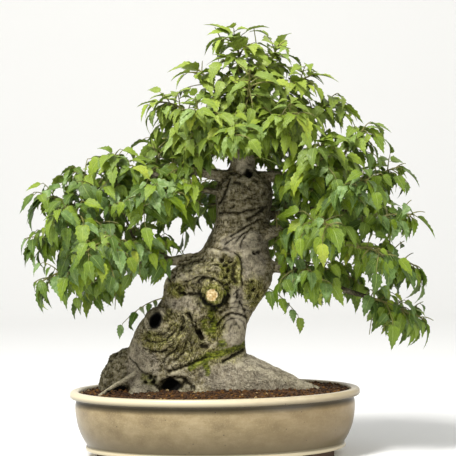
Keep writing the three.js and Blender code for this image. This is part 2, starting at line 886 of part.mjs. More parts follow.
// The first of a few tries at a leaf that keeps clear of everything in place, or null.
function growLeaf(shoot, t, side, seed, name, neighbours) {
  for (let attempt = 0; attempt < ATTEMPTS; attempt++) {
    const leaf = leafAt(shoot, t, side, seed, attempt);
    const wide = leafSolid(leaf, CLEARANCE);
    if (isClear(wide, name) && neighbours.every((s) => wide.intersect(s).isEmpty())) {
      return leafSolid(leaf);
    }
  }
  return null;
}

function makeSprays(obstacles) {
  for (const solid of obstacles) place(solid, "built");
  const sprays = [...seats].map(([name, seat], n) => {
    const seed = (n + 1) * SEED_STEP;
    const shoots = shootsOf(seat, seed);
    return { name: `spray_${name}`, seed, shoots, stems: shoots.map(shootSolid) };
  });
  for (const { name, stems } of sprays) {
    if (!isClear(stems[0], name)) throw new Error(`${name} starts inside another piece`);
    if (!isClear(stems[1], name)) stems.pop();
    for (const stem of stems) place(stem, name);
  }
  return sprays.map(({ name, seed, shoots, stems }) => {
    const leaves = [];
    stems.forEach((stem, index) => {
      LEAVES_ON[index].forEach((t, i) => {
        const own = seed + 100 * (index + 1) + 10 * i;
        const neighbours = [...leaves, ...stems.filter((other) => other !== stem)];
        const leaf = growLeaf(shoots[index], t, i % 2 ? -1 : 1, own, name, neighbours);
        if (leaf) {
          leaves.push(leaf);
          place(leaf, name);
        }
      });
    });
    return [name, fuse([...stems, ...leaves])];
  });
}

// Materials, and the nodes.
const finish = (color, roughness) =>
  new THREE.MeshStandardMaterial({ color, roughness, metalness: 0 });
const GLAZE = finish(0xc9b591, 0.35);
const EARTH = finish(0x4a2f22, 0.95);
const BARK = finish(0x7d7260, 0.9);
const LEAF = finish(0x5e8a2e, 0.55);
const MESH = finish(0x20221f, 0.6);

const bonsai = new THREE.Group();
function addNode(name, geometry, material) {
  const mesh = new THREE.Mesh(geometry, material);
  mesh.name = name;
  bonsai.add(mesh);
}

const pot = makePot();
const wood = makeWood();
const soil = makeSoil();
addNode("pot", geometryOf(pot), GLAZE);
addNode("drain_screen_left", makeScreen(-DRAIN_X), MESH);
addNode("drain_screen_right", makeScreen(DRAIN_X), MESH);
addNode("soil", geometryOf(soil), EARTH);
addNode("trunk_and_branches", geometryOf(wood), BARK);
for (const [name, solid] of makeSprays([pot, wood, soil])) {
  addNode(name, geometryOf(solid), LEAF);
}

const box = new THREE.Box3().setFromObject(bonsai);
const middle = box.getCenter(new THREE.Vector3());
bonsai.position.set(-middle.x, -middle.y, -box.min.z);

export default bonsai;
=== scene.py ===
# %% [markdown]
# A Chinese hackberry bonsai in its oval pot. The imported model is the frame: it fixes where the
# pot, the soil, the wood and every leafy spray stand. This lesson dresses it. Each step says
# what the real thing is, how it could be made in Blender, and why it is made the way that
# follows. Lengths are written in millimetres from the middle of the pot.

import math
from collections import namedtuple
from types import SimpleNamespace

import bmesh
import bpy
import numpy as np
from mathutils import Matrix, Vector, kdtree, noise
from mathutils.bvhtree import BVHTree


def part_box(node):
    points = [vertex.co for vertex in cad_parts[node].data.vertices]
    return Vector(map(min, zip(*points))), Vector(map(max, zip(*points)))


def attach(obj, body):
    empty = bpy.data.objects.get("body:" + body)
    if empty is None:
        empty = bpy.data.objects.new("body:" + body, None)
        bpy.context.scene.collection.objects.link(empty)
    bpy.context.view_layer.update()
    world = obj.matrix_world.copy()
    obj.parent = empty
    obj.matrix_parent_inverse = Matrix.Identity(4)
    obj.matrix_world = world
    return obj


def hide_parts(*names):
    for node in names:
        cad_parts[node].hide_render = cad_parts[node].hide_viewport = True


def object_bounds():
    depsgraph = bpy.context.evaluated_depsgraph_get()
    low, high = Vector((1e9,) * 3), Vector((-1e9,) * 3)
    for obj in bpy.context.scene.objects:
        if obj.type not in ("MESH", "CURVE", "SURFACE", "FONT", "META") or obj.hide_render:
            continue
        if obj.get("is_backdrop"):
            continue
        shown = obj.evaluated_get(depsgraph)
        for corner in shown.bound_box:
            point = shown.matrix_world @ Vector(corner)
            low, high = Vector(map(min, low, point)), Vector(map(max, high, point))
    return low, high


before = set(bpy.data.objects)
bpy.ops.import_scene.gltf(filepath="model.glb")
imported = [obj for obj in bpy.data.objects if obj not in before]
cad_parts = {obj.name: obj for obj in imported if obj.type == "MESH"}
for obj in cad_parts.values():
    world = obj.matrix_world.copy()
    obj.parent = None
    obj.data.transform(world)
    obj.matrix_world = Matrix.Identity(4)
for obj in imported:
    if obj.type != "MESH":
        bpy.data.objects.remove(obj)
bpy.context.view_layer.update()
print("nodes in the frame:", len(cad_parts))

# %% [markdown]
# Every place below is given in millimetres from the pot's centre at table height, because
# that is how the pot and the tree were measured. One function turns such a place into the
# frame's metres. Random-looking differences come from a draw that depends only on its seed,
# so the plant grows the same way each time.

# %% Places and draws
MM = 0.001
UP = Vector((0, 0, 1))
pot_low, pot_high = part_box("pot")
POT_CENTRE = Vector(((pot_low.x + pot_high.x) / 2, (pot_low.y + pot_high.y) / 2, 0))


def place(x, y, z):
    return POT_CENTRE + Vector((x, y, z)) * MM


def draw(seed):
    s = math.sin(seed * 12.9898 + 4.1414) * 43758.5453
    return s - math.floor(s)


def swing(seed, reach):
    return (2 * draw(seed) - 1) * reach


def mix(a, b, t):
    return a + (b - a) * t


def clamp(value, low=0.0, high=1.0):
    return max(low, min(high, value))


print("pot centre in the frame, mm:", [round(v / MM, 1) for v in POT_CENTRE])

# %% [markdown]
# A finish is a small graph of shader nodes. One function turns a hex colour, as it is seen on
# a screen, into the linear colour that the shader wants. Another adds a node with its
# settings and colour stops, fills its inputs in their order with values or links, and gives
# back an output. A real surface is built up in layers, such as bark, algae and moss, so the
# colours are laid over one another too, each with a share that says where it shows.

# %% Colours, patterns and layers


def linear(hex_colour):
    channels = [int(hex_colour[i : i + 2], 16) / 255 for i in (1, 3, 5)]
    return [c / 12.92 if c <= 0.04045 else ((c + 0.055) / 1.055) ** 2.4 for c in channels] + [1]


def add(tree, kind, inputs=(), out=None, stops=(), **settings):
    """Adds a node. None leaves an input as it is; out names an output, else it is the first."""
    made = tree.nodes.new("ShaderNode" + kind)
    for name, value in settings.items():
        setattr(made, name, value)
    for _ in stops[2:]:
        made.color_ramp.elements.new(0.5)
    for i, (position, colour) in enumerate(stops):
        made.color_ramp.elements[i].position = position
        made.color_ramp.elements[i].color = linear(colour)
    for socket, value in zip([s for s in made.inputs if s.enabled], inputs):
        if isinstance(value, bpy.types.NodeSocket):
            tree.links.new(value, socket)
        elif value is not None:
            socket.default_value = value
    return made.outputs[out] if out else next(s for s in made.outputs if s.enabled)


def new_finish(name, **surface):
    """A material and its graph, with values for its shader's sockets."""
    finish = bpy.data.materials.new(name)
    finish.use_nodes = True
    sockets = finish.node_tree.nodes["Principled BSDF"].inputs
    for socket, value in surface.items():
        sockets[socket.replace("_", " ")].default_value = value
    return finish, finish.node_tree


def blotches(tree, size_mm, detail=3.0, rough=0.55, stretch=(1, 1, 1)):
    """A soft pattern fixed to the piece, whose blotches are about size_mm across."""
    spot = add(tree, "TexCoord", out="Object")
    mapped = add(tree, "Mapping", [spot, None, None, stretch])
    return add(tree, "TexNoise", [mapped, 1 / (size_mm * MM), detail, rough])


def coats(tree, colour, *layers):
    """Lays layers over a colour. Each has its colour, the share that places it, the two values
    of the share between which it sets in, and how well it covers at each of them."""
    for over, share, *limits in layers:
        over = linear(over) if isinstance(over, str) else over
        cover = add(tree, "MapRange", [share, *limits])
        colour = add(tree, "Mix", [cover, colour, over], data_type="RGBA")
    return colour


def dress(tree, colour, height=None, strength=1.0, depth_mm=0.0, invert=False):
    """Gives a finish its colour, and a fine relief too small to model."""
    sockets = tree.nodes["Principled BSDF"].inputs
    tree.links.new(colour, sockets["Base Color"])
    if height is not None:
        relief = add(tree, "Bump", [strength, depth_mm * MM, None, height], invert=invert)
        tree.links.new(relief, sockets["Normal"])
    print("shader nodes:", len(tree.nodes))


# %% [markdown]
# A finished piece sits at the origin with its place in its mesh, rides on the one body that
# the plant and its pot make, and hides the CAD nodes it stands for.

# %% Turn a shape into a piece of the object


def new_object(name, data):
    made = bpy.data.objects.new(name, data)
    bpy.context.scene.collection.objects.link(made)
    return made


def to_mesh(bm, name):
    mesh = bpy.data.meshes.new(name)
    bm.to_mesh(mesh)
    bm.free()
    return mesh


def points_of(geometry):
    return [part for part in geometry if isinstance(part, bmesh.types.BMVert)]


def finish_piece(shape, name, finishes, stands_for=(), smooth=True):
    mesh = to_mesh(shape, name) if isinstance(shape, bmesh.types.BMesh) else shape
    for finish in finishes:
        mesh.materials.append(finish)
    mesh.polygons.foreach_set("use_smooth", [smooth] * len(mesh.polygons))
    piece = new_object(name, mesh)
    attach(piece, "root")
    if stands_for:
        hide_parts(*stands_for)
    print(name, "faces:", len(mesh.polygons))
    return piece


def evaluated(name, data, modifier=None, **settings):
    """The mesh of a curve, or of a mesh after one modifier."""
    holder = new_object(name, data)
    if modifier:
        worked = holder.modifiers.new(name, modifier)
        for setting, value in settings.items():
            setattr(worked, setting, value)
    graph = bpy.context.evaluated_depsgraph_get()
    mesh = bpy.data.meshes.new_from_object(holder.evaluated_get(graph))
    bpy.data.objects.remove(holder)
    return mesh


# %% [markdown]
# The pot is one fired piece of stoneware under a cream glaze. It is painted darker and browner
# low down and towards its right end, as painted shade, and pale on the rolled rim, partly its
# glaze and partly a painted highlight. A pot is thrown or pressed round an upright axis, so its
# profile is spun, and then the round pot is drawn out sideways into an oval, which keeps the
# wall equally thick all round.

# %% Profile of the pot
POT_STRETCH = (pot_high.x - pot_low.x - pot_high.y + pot_low.y) / 2 / MM
POT_HALF_DEPTH = (pot_high.y - pot_low.y) / 2 / MM
RIM_TOP = pot_high.z / MM
FOOT_HEIGHT = 10
FLOOR_TOP = 20
FLOOR_RADIUS = 130
DRAIN_X = 95
DRAIN_RADIUS = 12


def arc(r, z, size, start, end, steps):
    """Points on a quarter or so of a circle, from one angle in degrees to another."""
    angles = [math.radians(mix(start, end, i / steps)) for i in range(steps + 1)]
    return [(r + size * math.cos(a), z + size * math.sin(a)) for a in angles]


POT_PROFILE = [
    (0, FOOT_HEIGHT),
    (134, FOOT_HEIGHT),
    *arc(136.2, 14.0, 3.4, -70, 75, 6),
    (137.4, 19.2),
    (139.2, 22),
    (143.4, 29),
    (147.6, 38),
    (150.6, 47),
    (152.6, 57),
    (154.0, 68),
    (154.4, 75),
    (154.0, 80),
    (152.9, 84),
    (151.8, 87),
    (152.3, 88.7),
    (155, 89.1),
    *arc(158.4, 92.7, 3.6, -88, -5, 5),
    *arc(157.0, 95.2, 4.8, 0, 90, 6),
    (154.4, RIM_TOP),
    *arc(152.2, RIM_TOP - 3.5, 3.4, 80, 175, 5),
    (147.8, 88),
    (145.6, 56),
    (141, 36),
    (FLOOR_RADIUS + 2, 23),
    (FLOOR_RADIUS - 4, FLOOR_TOP),
    (0, FLOOR_TOP),
]


def draw_out(bm):
    """Moves a round piece's points outwards along X, so that it turns oval."""
    for vertex in bm.verts:
        across = math.hypot(vertex.co.x, vertex.co.y)
        if across > 1e-6:
            vertex.co.x += vertex.co.x / across * POT_STRETCH * min(1, across / FLOOR_RADIUS)


def spun(profile, steps):
    bm = bmesh.new()
    points = [bm.verts.new((r, 0, z)) for r, z in profile]
    shape = points + [bm.edges.new(pair) for pair in zip(points, points[1:])]
    full, axis = 2 * math.pi, (0, 0, 1)
    bmesh.ops.spin(bm, geom=shape, cent=(0, 0, 0), axis=axis, angle=full, steps=steps, use_merge=True)
    bmesh.ops.remove_doubles(bm, verts=bm.verts, dist=0.01)
    return bm


def to_frame(bm):
    """From millimetres round the pot's centre to the frame's metres."""
    bm.transform(Matrix.Translation(POT_CENTRE) @ Matrix.Scale(MM, 4))


pot_body = spun(POT_PROFILE, 160)
draw_out(pot_body)
bmesh.ops.recalc_face_normals(pot_body, faces=pot_body.faces)
print("pot, mm:", round(RIM_TOP, 1), "high,", round(POT_HALF_DEPTH * 2, 1), "deep")

# %% [markdown]
# Four feet carry the pot. Each is a curved block under the edge of the base, of the same clay
# left bare, a matt brown that is painted darker as painted shade under the pot. An outline in
# the plane of the table is extruded up into the base and its edges are rounded.

# %% Feet
FOOT_ANGLES = [math.radians(mix(24, 44, i / 8)) for i in range(9)]
FOOT_OUTER, FOOT_INNER = 136, 120
FOOT_SUNK = 3


def foot(side_x, side_y):
    bm = bmesh.new()
    outline = [(FOOT_OUTER, a) for a in FOOT_ANGLES]
    outline += [(FOOT_INNER, a) for a in reversed(FOOT_ANGLES)]
    corners = [
        bm.verts.new((side_x * (r + POT_STRETCH) * math.cos(a), side_y * r * math.sin(a), 0))
        for r, a in outline
    ]
    grown = bmesh.ops.extrude_face_region(bm, geom=[bm.faces.new(corners)])["geom"]
    bmesh.ops.translate(bm, verts=points_of(grown), vec=(0, 0, FOOT_HEIGHT + FOOT_SUNK))
    sharp = [e for e in bm.edges if e.calc_length() > 3 and e.calc_face_angle(0) > 0.8]
    bmesh.ops.bevel(bm, geom=sharp, offset=1.2, affect="EDGES", segments=3, profile=0.5, material=-1)
    return to_mesh(bm, "foot")


feet = bmesh.new()
for side_x in (-1, 1):
    for side_y in (-1, 1):
        feet.from_mesh(foot(side_x, side_y))
bmesh.ops.recalc_face_normals(feet, faces=feet.faces)
to_frame(feet)
print("faces on the feet:", len(feet.faces))

# %% [markdown]
# The glaze is a glass: smooth, a little glossy, and clear enough that the clay's brown shows
# through in places. Its mottling is soft noise a few centimetres across, stretched along the
# wall as glaze runs, with fine iron specks about a millimetre wide. Painted shade darkens the
# pot towards its foot and its right end, and a painted shadow lies in the neck under the rim.

# %% Glazed stoneware and bare clay
glaze, tree = new_finish("cream_glazed_stoneware", Roughness=0.3, IOR=1.5)
spot = add(tree, "TexCoord", out="Object")
height = add(tree, "SeparateXYZ", [spot], out="Z")
sideways = add(tree, "SeparateXYZ", [spot], out="X")
mottle = blotches(tree, 34, 4, 0.6, (1, 1, 1.6))
cloudy = blotches(tree, 7, 3, 0.6, (0.5, 0.5, 1.6))
brushed = blotches(tree, 3.6, 4, 0.7, (0.12, 0.12, 1.5))
sandy = blotches(tree, 2.2, 3, 0.7)
# painted shade: the pot darkens towards its right end, away from the key light, on the wall and the
# rim alike, broken by cloudy noise
shaded_side = add(tree, "Math", [cloudy, 0.14, sideways], operation="MULTIPLY_ADD")
right_end_shade = add(tree, "MapRange", [shaded_side, 0.06, 0.22, 0.0, 0.5])
cream = coats(tree, linear("#ecdebc"), ("#937a50", right_end_shade))
dot = add(tree, "TexVoronoi", [spot, 1 / (13 * MM)])
dot = add(tree, "MapRange", [dot, 0.05, 0.1, 1.0, 0.0])
rare = add(tree, "MapRange", [blotches(tree, 24, 1), 0.54, 0.58])
speck = add(tree, "Math", [dot, rare], operation="MULTIPLY")
fired = add(
    tree, "ValToRGB", [mottle], stops=[(0.3, "#7e6b48"), (0.48, "#96835c"), (0.68, "#ae9b75")]
)
fired = coats(
    tree,
    fired,
    ("#7e6c48", cloudy, 0.35, 0.75, 0.0, 0.3),
    ("#6b5a38", brushed, 0.42, 0.68, 0.0, 0.12),
    ("#b9aa86", sandy, 0.5, 0.72, 0.0, 0.4),
    # painted shade on the wall towards the right end
    ("#8a7148", right_end_shade),
    # heights in metres: painted shade low down and under the bulge, painted shadow in the neck, the
    # bead and the rim
    # painted shade: the wall darkens towards its foot, away from the light from above
    ("#4f4223", height, 0.012, 0.076, 1.0, 0.0),
    ("#5d5230", height, 0.0195, 0.032, 0.5, 0.0),
    # painted shadow under the rolled rim, with some dirt
    ("#372e16", height, 0.077, 0.084, 0.0, 0.92),
    ("#dccfae", height, 0.0185, 0.0155, 0.0, 0.8),
    # the rim's cream is partly its glaze and partly a painted highlight down to its lower edge
    (cream, height, 0.0884, 0.0955, 0.0, 0.8),
    ("#3a2a18", speck),
)
dress(tree, fired, blotches(tree, 9, 2, 0.55, (0.6, 0.6, 2.2)), 0.12, 0.6)

clay, tree = new_finish("bare_brown_clay", Roughness=0.85)
grit = blotches(tree, 1.2)
# the bare clay's brown, painted darker as painted shade under the pot
earth = add(tree, "ValToRGB", [grit], stops=[(0.3, "#2e1f14"), (0.7, "#4d3724")])
dress(tree, earth, grit, 0.4, 0.4)

# %% [markdown]
# A round cutter for each drain hole is taken out of the pot's floor with a boolean, and the
# feet join the pot. Edges sharper than about forty degrees stay crisp, as on a trimmed base.

# %% Cut the drain holes and finish the pot
CRISP = 0.7

cutters = bmesh.new()
for x in (-DRAIN_X, DRAIN_X):
    bmesh.ops.create_cone(
        cutters,
        cap_ends=True,
        segments=40,
        radius1=DRAIN_RADIUS,
        radius2=DRAIN_RADIUS,
        depth=40,
        matrix=Matrix.Translation((x, 0, FLOOR_TOP - 5)),
    )
to_frame(cutters)
to_frame(pot_body)
drains = new_object("drains", to_mesh(cutters, "drains"))
uncut = to_mesh(pot_body, "pot_body")
settings = {"operation": "DIFFERENCE", "object": drains, "solver": "EXACT"}
bm = bmesh.new()
bm.from_mesh(evaluated("pot_uncut", uncut, "BOOLEAN", **settings))
bpy.data.objects.remove(drains)
first_foot_face = len(bm.faces)
bm.from_mesh(to_mesh(feet, "feet"))
for face in list(bm.faces)[first_foot_face:]:
    face.material_index = 1
for edge in bm.edges:
    edge.smooth = edge.calc_face_angle(0) < CRISP
finish_piece(bm, "pot_stoneware", [glaze, clay], ["pot"])

# %% [markdown]
# Over each drain hole lies a square of dark plastic mesh that keeps the soil in. A grid of
# small squares is turned into a net of bars with the wireframe operator, which makes a closed
# net in one go.

# %% Drain screens
BAR = 1.2

screen_finish, tree = new_finish("black_plastic_mesh", Roughness=0.55, Base_Color=linear("#1c1e1b"))
for node in ("drain_screen_left", "drain_screen_right"):
    low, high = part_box(node)
    size = (high.x - low.x - BAR * MM, high.y - low.y - BAR * MM, 1)
    bm = bmesh.new()
    bmesh.ops.create_grid(bm, x_segments=13, y_segments=13, size=0.5)
    bmesh.ops.scale(bm, verts=bm.verts, vec=size)
    bmesh.ops.wireframe(
        bm,
        faces=bm.faces,
        thickness=BAR * MM,
        use_boundary=True,
        use_even_offset=True,
        use_replace=True,
    )
    bmesh.ops.translate(bm, verts=bm.verts, vec=(low + high) / 2)
    finish_piece(bm, node + "_net", [screen_finish], [node], smooth=False)

# %% [markdown]
# The wood is one grown thing from its roots to its twigs. The CAD solid holds its form in
# flat facets. Sculpting it by hand would be slow to repeat, so its copy is closed above the
# soil, rebuilt as an even skin of small squares with the voxel remesher, relaxed where it is
# thick until the facets are gone, and then raised and furrowed by formulas.

# %% Rebuild the wood as an even skin
VOXEL = 1.9
SKIN_FLOOR = 78

bm = bmesh.new()
bm.from_mesh(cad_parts["trunk_and_branches"].data)
bmesh.ops.remove_doubles(bm, verts=bm.verts, dist=0.01 * MM)
everything = list(bm.verts) + list(bm.edges) + list(bm.faces)
floor = place(0, 0, SKIN_FLOOR)
bmesh.ops.bisect_plane(bm, geom=everything, plane_co=floor, plane_no=UP, clear_inner=True)
bmesh.ops.holes_fill(bm, edges=[edge for edge in bm.edges if edge.is_boundary], sides=0)
bmesh.ops.triangulate(bm, faces=bm.faces)
rough_mesh = to_mesh(bm, "wood_rough")
wood_mesh = evaluated("wood", rough_mesh, "REMESH", mode="VOXEL", voxel_size=VOXEL * MM)
print("wood skin faces:", len(wood_mesh.polygons))

# %% [markdown]
# To relax the skin, each point moves towards the mean of its neighbours. Thin twigs would
# melt away, so the pull depends on how thick the wood is under each point, which a ray sent
# straight inwards measures.

# %% Relax the facets away
DEEPEST = 60
ROUNDS = 26
THIN_WOOD, THICKENS_OVER = 9, 22


def read(parts, name, width=3, kind=float):
    """A value of every part of a mesh, one row to a part."""
    flat = np.empty(len(parts) * width, dtype=kind)
    parts.foreach_get(name, flat)
    return flat.reshape(-1, width)


def write_points(mesh, points):
    mesh.vertices.foreach_set("co", points.ravel())
    mesh.update()


def neighbour_mean(values, edges):
    one, two = edges.T
    count = len(values)
    degree = np.bincount(one, minlength=count) + np.bincount(two, minlength=count)
    columns = [
        np.bincount(one, column[two], count) + np.bincount(two, column[one], count)
        for column in values.T
    ]
    return np.stack(columns, axis=1) / degree[:, None]


def relax(points, edges, weight, rounds):
    for _ in range(rounds):
        points = points + weight[:, None] * (neighbour_mean(points, edges) - points)
    return points


def ray_tree(mesh, points):
    faces = [tuple(f.vertices) for f in mesh.polygons]
    return BVHTree.FromPolygons([Vector(p) for p in points], faces)


def depth_under(mesh, points, normals, longest):
    tree = ray_tree(mesh, points)
    depths = np.full(len(points), longest)
    for i, (point, normal) in enumerate(zip(points, normals)):
        hit = tree.ray_cast(Vector(point - normal * 0.3 * MM), Vector(-normal), longest)
        if hit[3] is not None:
            depths[i] = hit[3]
    return depths


skin = read(wood_mesh.vertices, "co")
skin_edges = read(wood_mesh.edges, "vertices", 2, np.int32)
depth = depth_under(wood_mesh, skin, read(wood_mesh.vertex_normals, "vector"), DEEPEST * MM)
thick = np.clip((depth / MM - THIN_WOOD) / THICKENS_OVER, 0, 1)
thick = neighbour_mean(thick[:, None], skin_edges)[:, 0]
skin = relax(skin, skin_edges, 0.06 + 0.5 * thick, ROUNDS)
write_points(wood_mesh, skin)
print("thick share of the skin:", round(float(thick.mean()), 2))

# %% [markdown]
# Old hackberry bark is mostly smooth and grey, but this trunk is full of growth round old
# wounds: arches of callus over the sawn stub, folds that hang below the hollow like cloth, a
# healed knob with a whorl, and creases where roots meet. Each mark is a path seen from the
# front, with its width, how far it stands out or sinks in, and how much painted shade lies in
# it. Before a mark is laid, the points are pushed about by soft noise, so that it wanders like
# grown wood.

# %% Marks on the bark
HOLLOW_AT = (-85, 207)
HOLLOW_MIDDLE = (-86, -46, 207)
HOLLOW_NARROW, HOLLOW_LONG = (-0.87, 0, 0.5), (0.5, 0, 0.87)
STUB_AT = (0, 244)
STUB_MIDDLE, STUB_WAY = (-2, -66, 244), (-0.1, -0.97, 0.12)
KNOB_AT = (31, 200)
KNOT_AT = (55, 423)


def ring(at, radius):
    """A closed path round a place."""
    angles = [math.radians(30 * i) for i in range(13)]
    return [(at[0] + radius * math.cos(a), at[1] + radius * math.sin(a)) for a in angles]


MARKS = [
    # path of (x, z), width, rise, painted shade
    ([(-16, 248), (-11, 261), (-2, 269), (8, 270), (17, 264), (21, 253)], 3.2, 2.6, 0),
    ([(-24, 284), (-12, 289), (0, 285), (10, 276), (19, 265)], 3.4, 2.4, 0),
    ([(-3, 307), (15, 304), (29, 301), (38, 289), (39, 272), (37, 250)], 4.2, 3.6, 0),
    ([(-20, 278), (-10, 281), (2, 277), (11, 269)], 2.0, -2.4, 0.5),
    ([(17, 298), (28, 289), (30, 274), (27, 259), (21, 252)], 6.0, -4.5, 0.4),
    ([(-54, 252), (-48, 247), (-39, 245), (-25, 247), (-20, 254)], 2.6, -5.0, 1),
    ([(-60, 270), (-52, 284), (-36, 292), (-16, 298)], 2.6, -2.6, 0.5),
    ([(-19, 243), (-10, 231), (3, 224), (16, 229), (22, 240)], 6.0, -8.0, 1),
    ([(-19, 252), (-12, 262), (1, 267), (13, 261), (20, 249)], 2.2, -1.4, 0.55),
    ([(-30, 247), (-22, 264), (-8, 276), (8, 277), (20, 268)], 2.0, -1.4, 0.45),
    ([(-43, 262), (-31, 279), (-12, 287), (6, 286)], 2.0, -1.4, 0.4),
    ([(-90, 115), (-82, 106), (-74, 97)], 4, -3, 0.9),
    ([(-84, 107), (-75, 119), (-58, 125), (-42, 120), (-31, 107)], 2.8, -3, 0.9),
    ([(-50, 108), (-46, 116), (-38, 115), (-35, 105)], 2.2, -3, 0.85),
    ([(33, 218), (42, 232), (40, 248), (44, 262)], 1.8, -1.2, 0.4),
    ([(24, 221), (34, 235), (35, 250)], 1.6, -1.0, 0.35),
    ([(-38, 216), (-34, 210), (-28, 199), (-22, 188), (-17, 179)], 2.6, -6.0, 1),
    ([(-40, 217), (-36, 213)], 3.6, -4.0, 1),
    ([(-24, 190), (-19, 182)], 3.4, -3.0, 0.9),
    ([(-16, 169), (-11, 167)], 4.2, -4.5, 1),
    ([(-44, 207), (-46, 194)], 2.0, -4.0, 0.8),
    ([(-98, 189), (-86, 184), (-73, 187), (-60, 199), (-50, 208)], 1.8, -1.6, 0.5),
    ([(-99, 178), (-86, 175), (-71, 178), (-61, 188), (-48, 205)], 2.0, -2.2, 0.6),
    ([(-104, 165), (-86, 162), (-72, 163), (-60, 173), (-51, 188), (-46, 203)], 1.8, -2.2, 0.6),
    ([(-75, 145), (-69, 156), (-58, 163), (-49, 175), (-44, 198)], 1.8, -1.8, 0.5),
    ([(-60, 148), (-46, 158), (-40, 172), (-41, 194)], 1.6, -1.6, 0.45),
    ([(-40, 150), (-33, 164), (-35, 180), (-39, 196)], 1.6, -1.4, 0.45),
    ([(-47, 212), (-43, 203), (-41, 190)], 2.4, -2.6, 0.9),
    ([(4, 198), (9, 206), (16, 212), (28, 216), (41, 213), (50, 206), (51, 194)], 2.0, -2.8, 0.7),
    ([(13, 193), (18, 203), (27, 208), (37, 207), (44, 201), (46, 191)], 1.8, -1.5, 0.4),
    ([(22, 191), (26, 199), (34, 199), (38, 193)], 1.7, -1.1, 0.35),
    ([(30, 203), (33, 202)], 3.0, -1.5, 0.6),
    ([(50, 206), (45, 224), (37, 238), (35, 250)], 2.6, -2.4, 0.4),
    ([(12, 144), (27, 151), (44, 160), (56, 163)], 2.2, -4.4, 0.8),
    ([(-68, 132), (-50, 138), (-32, 145), (-13, 151)], 2.2, -3.4, 0.6),
    ([(-126, 149), (-115, 139), (-106, 130)], 1.8, -1.6, 0.4),
    ([(-94, 116), (-83, 107), (-75, 101)], 2.2, -3.0, 0.9),
    ([(-76, 106), (-62, 114), (-44, 112)], 7.0, -6.0, 0.9),
    ([(-44, 111), (-38, 110)], 4.5, 5.0, 0),
    ([(-100, 128), (-95, 125)], 4.0, -3.0, 0.8),
    ([(-92, 121), (-88, 119)], 3.4, -2.5, 0.8),
    ([(28, 331), (42, 340), (54, 347), (69, 354)], 2.0, -3.0, 0.9),
    ([(36, 324), (48, 336), (58, 342)], 1.8, -2.4, 0.7),
    ([(51, 355), (66, 362), (81, 373)], 2.6, -3.0, 0.9),
    ([(42, 313), (46, 327), (52, 336)], 1.8, -2.0, 0.5),
    ([(18, 318), (30, 326), (44, 334)], 1.8, -1.8, 0.4),
    ([(12, 365), (36, 366), (54, 368), (75, 373)], 2.2, -2.6, 0.7),
    ([(14, 382), (22, 403), (26, 416)], 3.0, -3.0, 0.8),
    ([(34, 411), (40, 410)], 4.4, -3.0, 1),
    ([(28, 373), (31, 374)], 2.4, -1.6, 0.8),
    ([(30, 385), (33, 384)], 2.2, -1.4, 0.7),
    ([(64, 306), (68, 306)], 3.0, -2.0, 0.8),
    ([(32, 305), (40, 298), (43, 285), (41, 272), (43, 261), (37, 251), (30, 245)], 1.7, -2.4, 0.42),
    ([(-66, 268), (-62, 256), (-52, 246)], 2.2, -3.0, 0.7),
    ([(-1, 207), (8, 217), (21, 224), (36, 225), (50, 219)], 1.6, -1.2, 0.6),
    ([(3, 217), (15, 228), (32, 233), (48, 228)], 1.5, -1.2, 0.5),
    ([(12, 232), (28, 241), (44, 238)], 1.5, -1.0, 0.5),
    ([(30, 254), (34, 263), (33, 278), (35, 288), (27, 299)], 1.6, -1.6, 0.5),
    (ring(KNOT_AT, 8.5), 2.6, 2.6, 0),
    (ring(KNOT_AT, 4), 3.4, -5.0, 0.9),
]
BURL_PITS = [
    # x, z, reach
    (-33, 282, 3.2), (-40, 264, 2.4), (-50, 254, 4.2), (-44, 249, 3.0), (-57, 260, 3.2),
    (-13, 294, 2.6), (13, 296, 3.6), (19, 288, 4.0), (14, 279, 3.0), (23, 280, 2.6),
    (20, 270, 4.0), (26, 262, 3.0), (19, 258, 3.4), (25, 252, 2.6), (27, 293, 2.4),
    (63, 306, 3.0), (57, 262, 2.4), (60, 250, 3.0), (54, 242, 2.2), (66, 240, 2.6),
    (-97, 123, 3.8), (-91, 117, 3.2), (-102, 116, 2.6), (-87, 123, 2.6),
]
CLEAN = [
    # x, z, wide, high
    (62, 116, 78, 42),
    (-108, 135, 26, 40),
    (34, 190, 21, 23),
    (40, 232, 15, 22),
    (58, 290, 22, 26),
    (-42, 231, 30, 10),
    (-28, 274, 22, 13),
    (52, 452, 22, 30),
    (46, 318, 34, 20),
    (126, 106, 34, 18),
]
FILMS = [
    # x, z, wide, high, strength
    (-7, 272, 54, 36, 0.6),
    (-1, 242, 27, 25, 1.0),
    (-54, 253, 16, 14, 1.0),
    (20, 274, 15, 28, 1.0),
    (36, 279, 10, 27, 0.9),
    (60, 246, 18, 30, 0.85),
    (-43, 180, 38, 46, 0.7),
    (-88, 176, 26, 18, 0.8),
    (-66, 211, 12, 14, 0.7),
    (0, 197, 20, 26, 0.9),
    (-72, 112, 42, 17, 0.4),
    (4, 152, 50, 15, 0.7),
    (-97, 120, 15, 11, 0.7),
]
print("marks on the bark:", len(MARKS), "and pits:", len(BURL_PITS))

# %% [markdown]
# The marks are read through soft noise. Most of them belong to the front alone, so a share
# that is 1 where the skin faces the front keeps them off the back and the sides.

# %% Read a mark, a patch and a noise


def in_paths(points, path):
    """How far each point stands from a path of (x, z) stops, seen from the front."""
    flat = points[:, (0, 2)]
    nearest = np.full(len(points), np.inf)
    for start, end in zip(path, path[1:]):
        a, b = np.array(start, float), np.array(end, float)
        share = np.clip((flat - a) @ (b - a) / ((b - a) @ (b - a)), 0, 1)
        gap = np.linalg.norm(flat - a - share[:, None] * (b - a), axis=1)
        nearest = np.minimum(nearest, gap)
    return nearest


def patch(points, x, z, wide, high, soft=0.5):
    """1 inside an ellipse seen from the front, fading to 0 across its edge."""
    gap = np.hypot((points[:, 0] - x) / wide, (points[:, 2] - z) / high)
    return np.clip((1 - gap) / soft + 0.5, 0, 1)


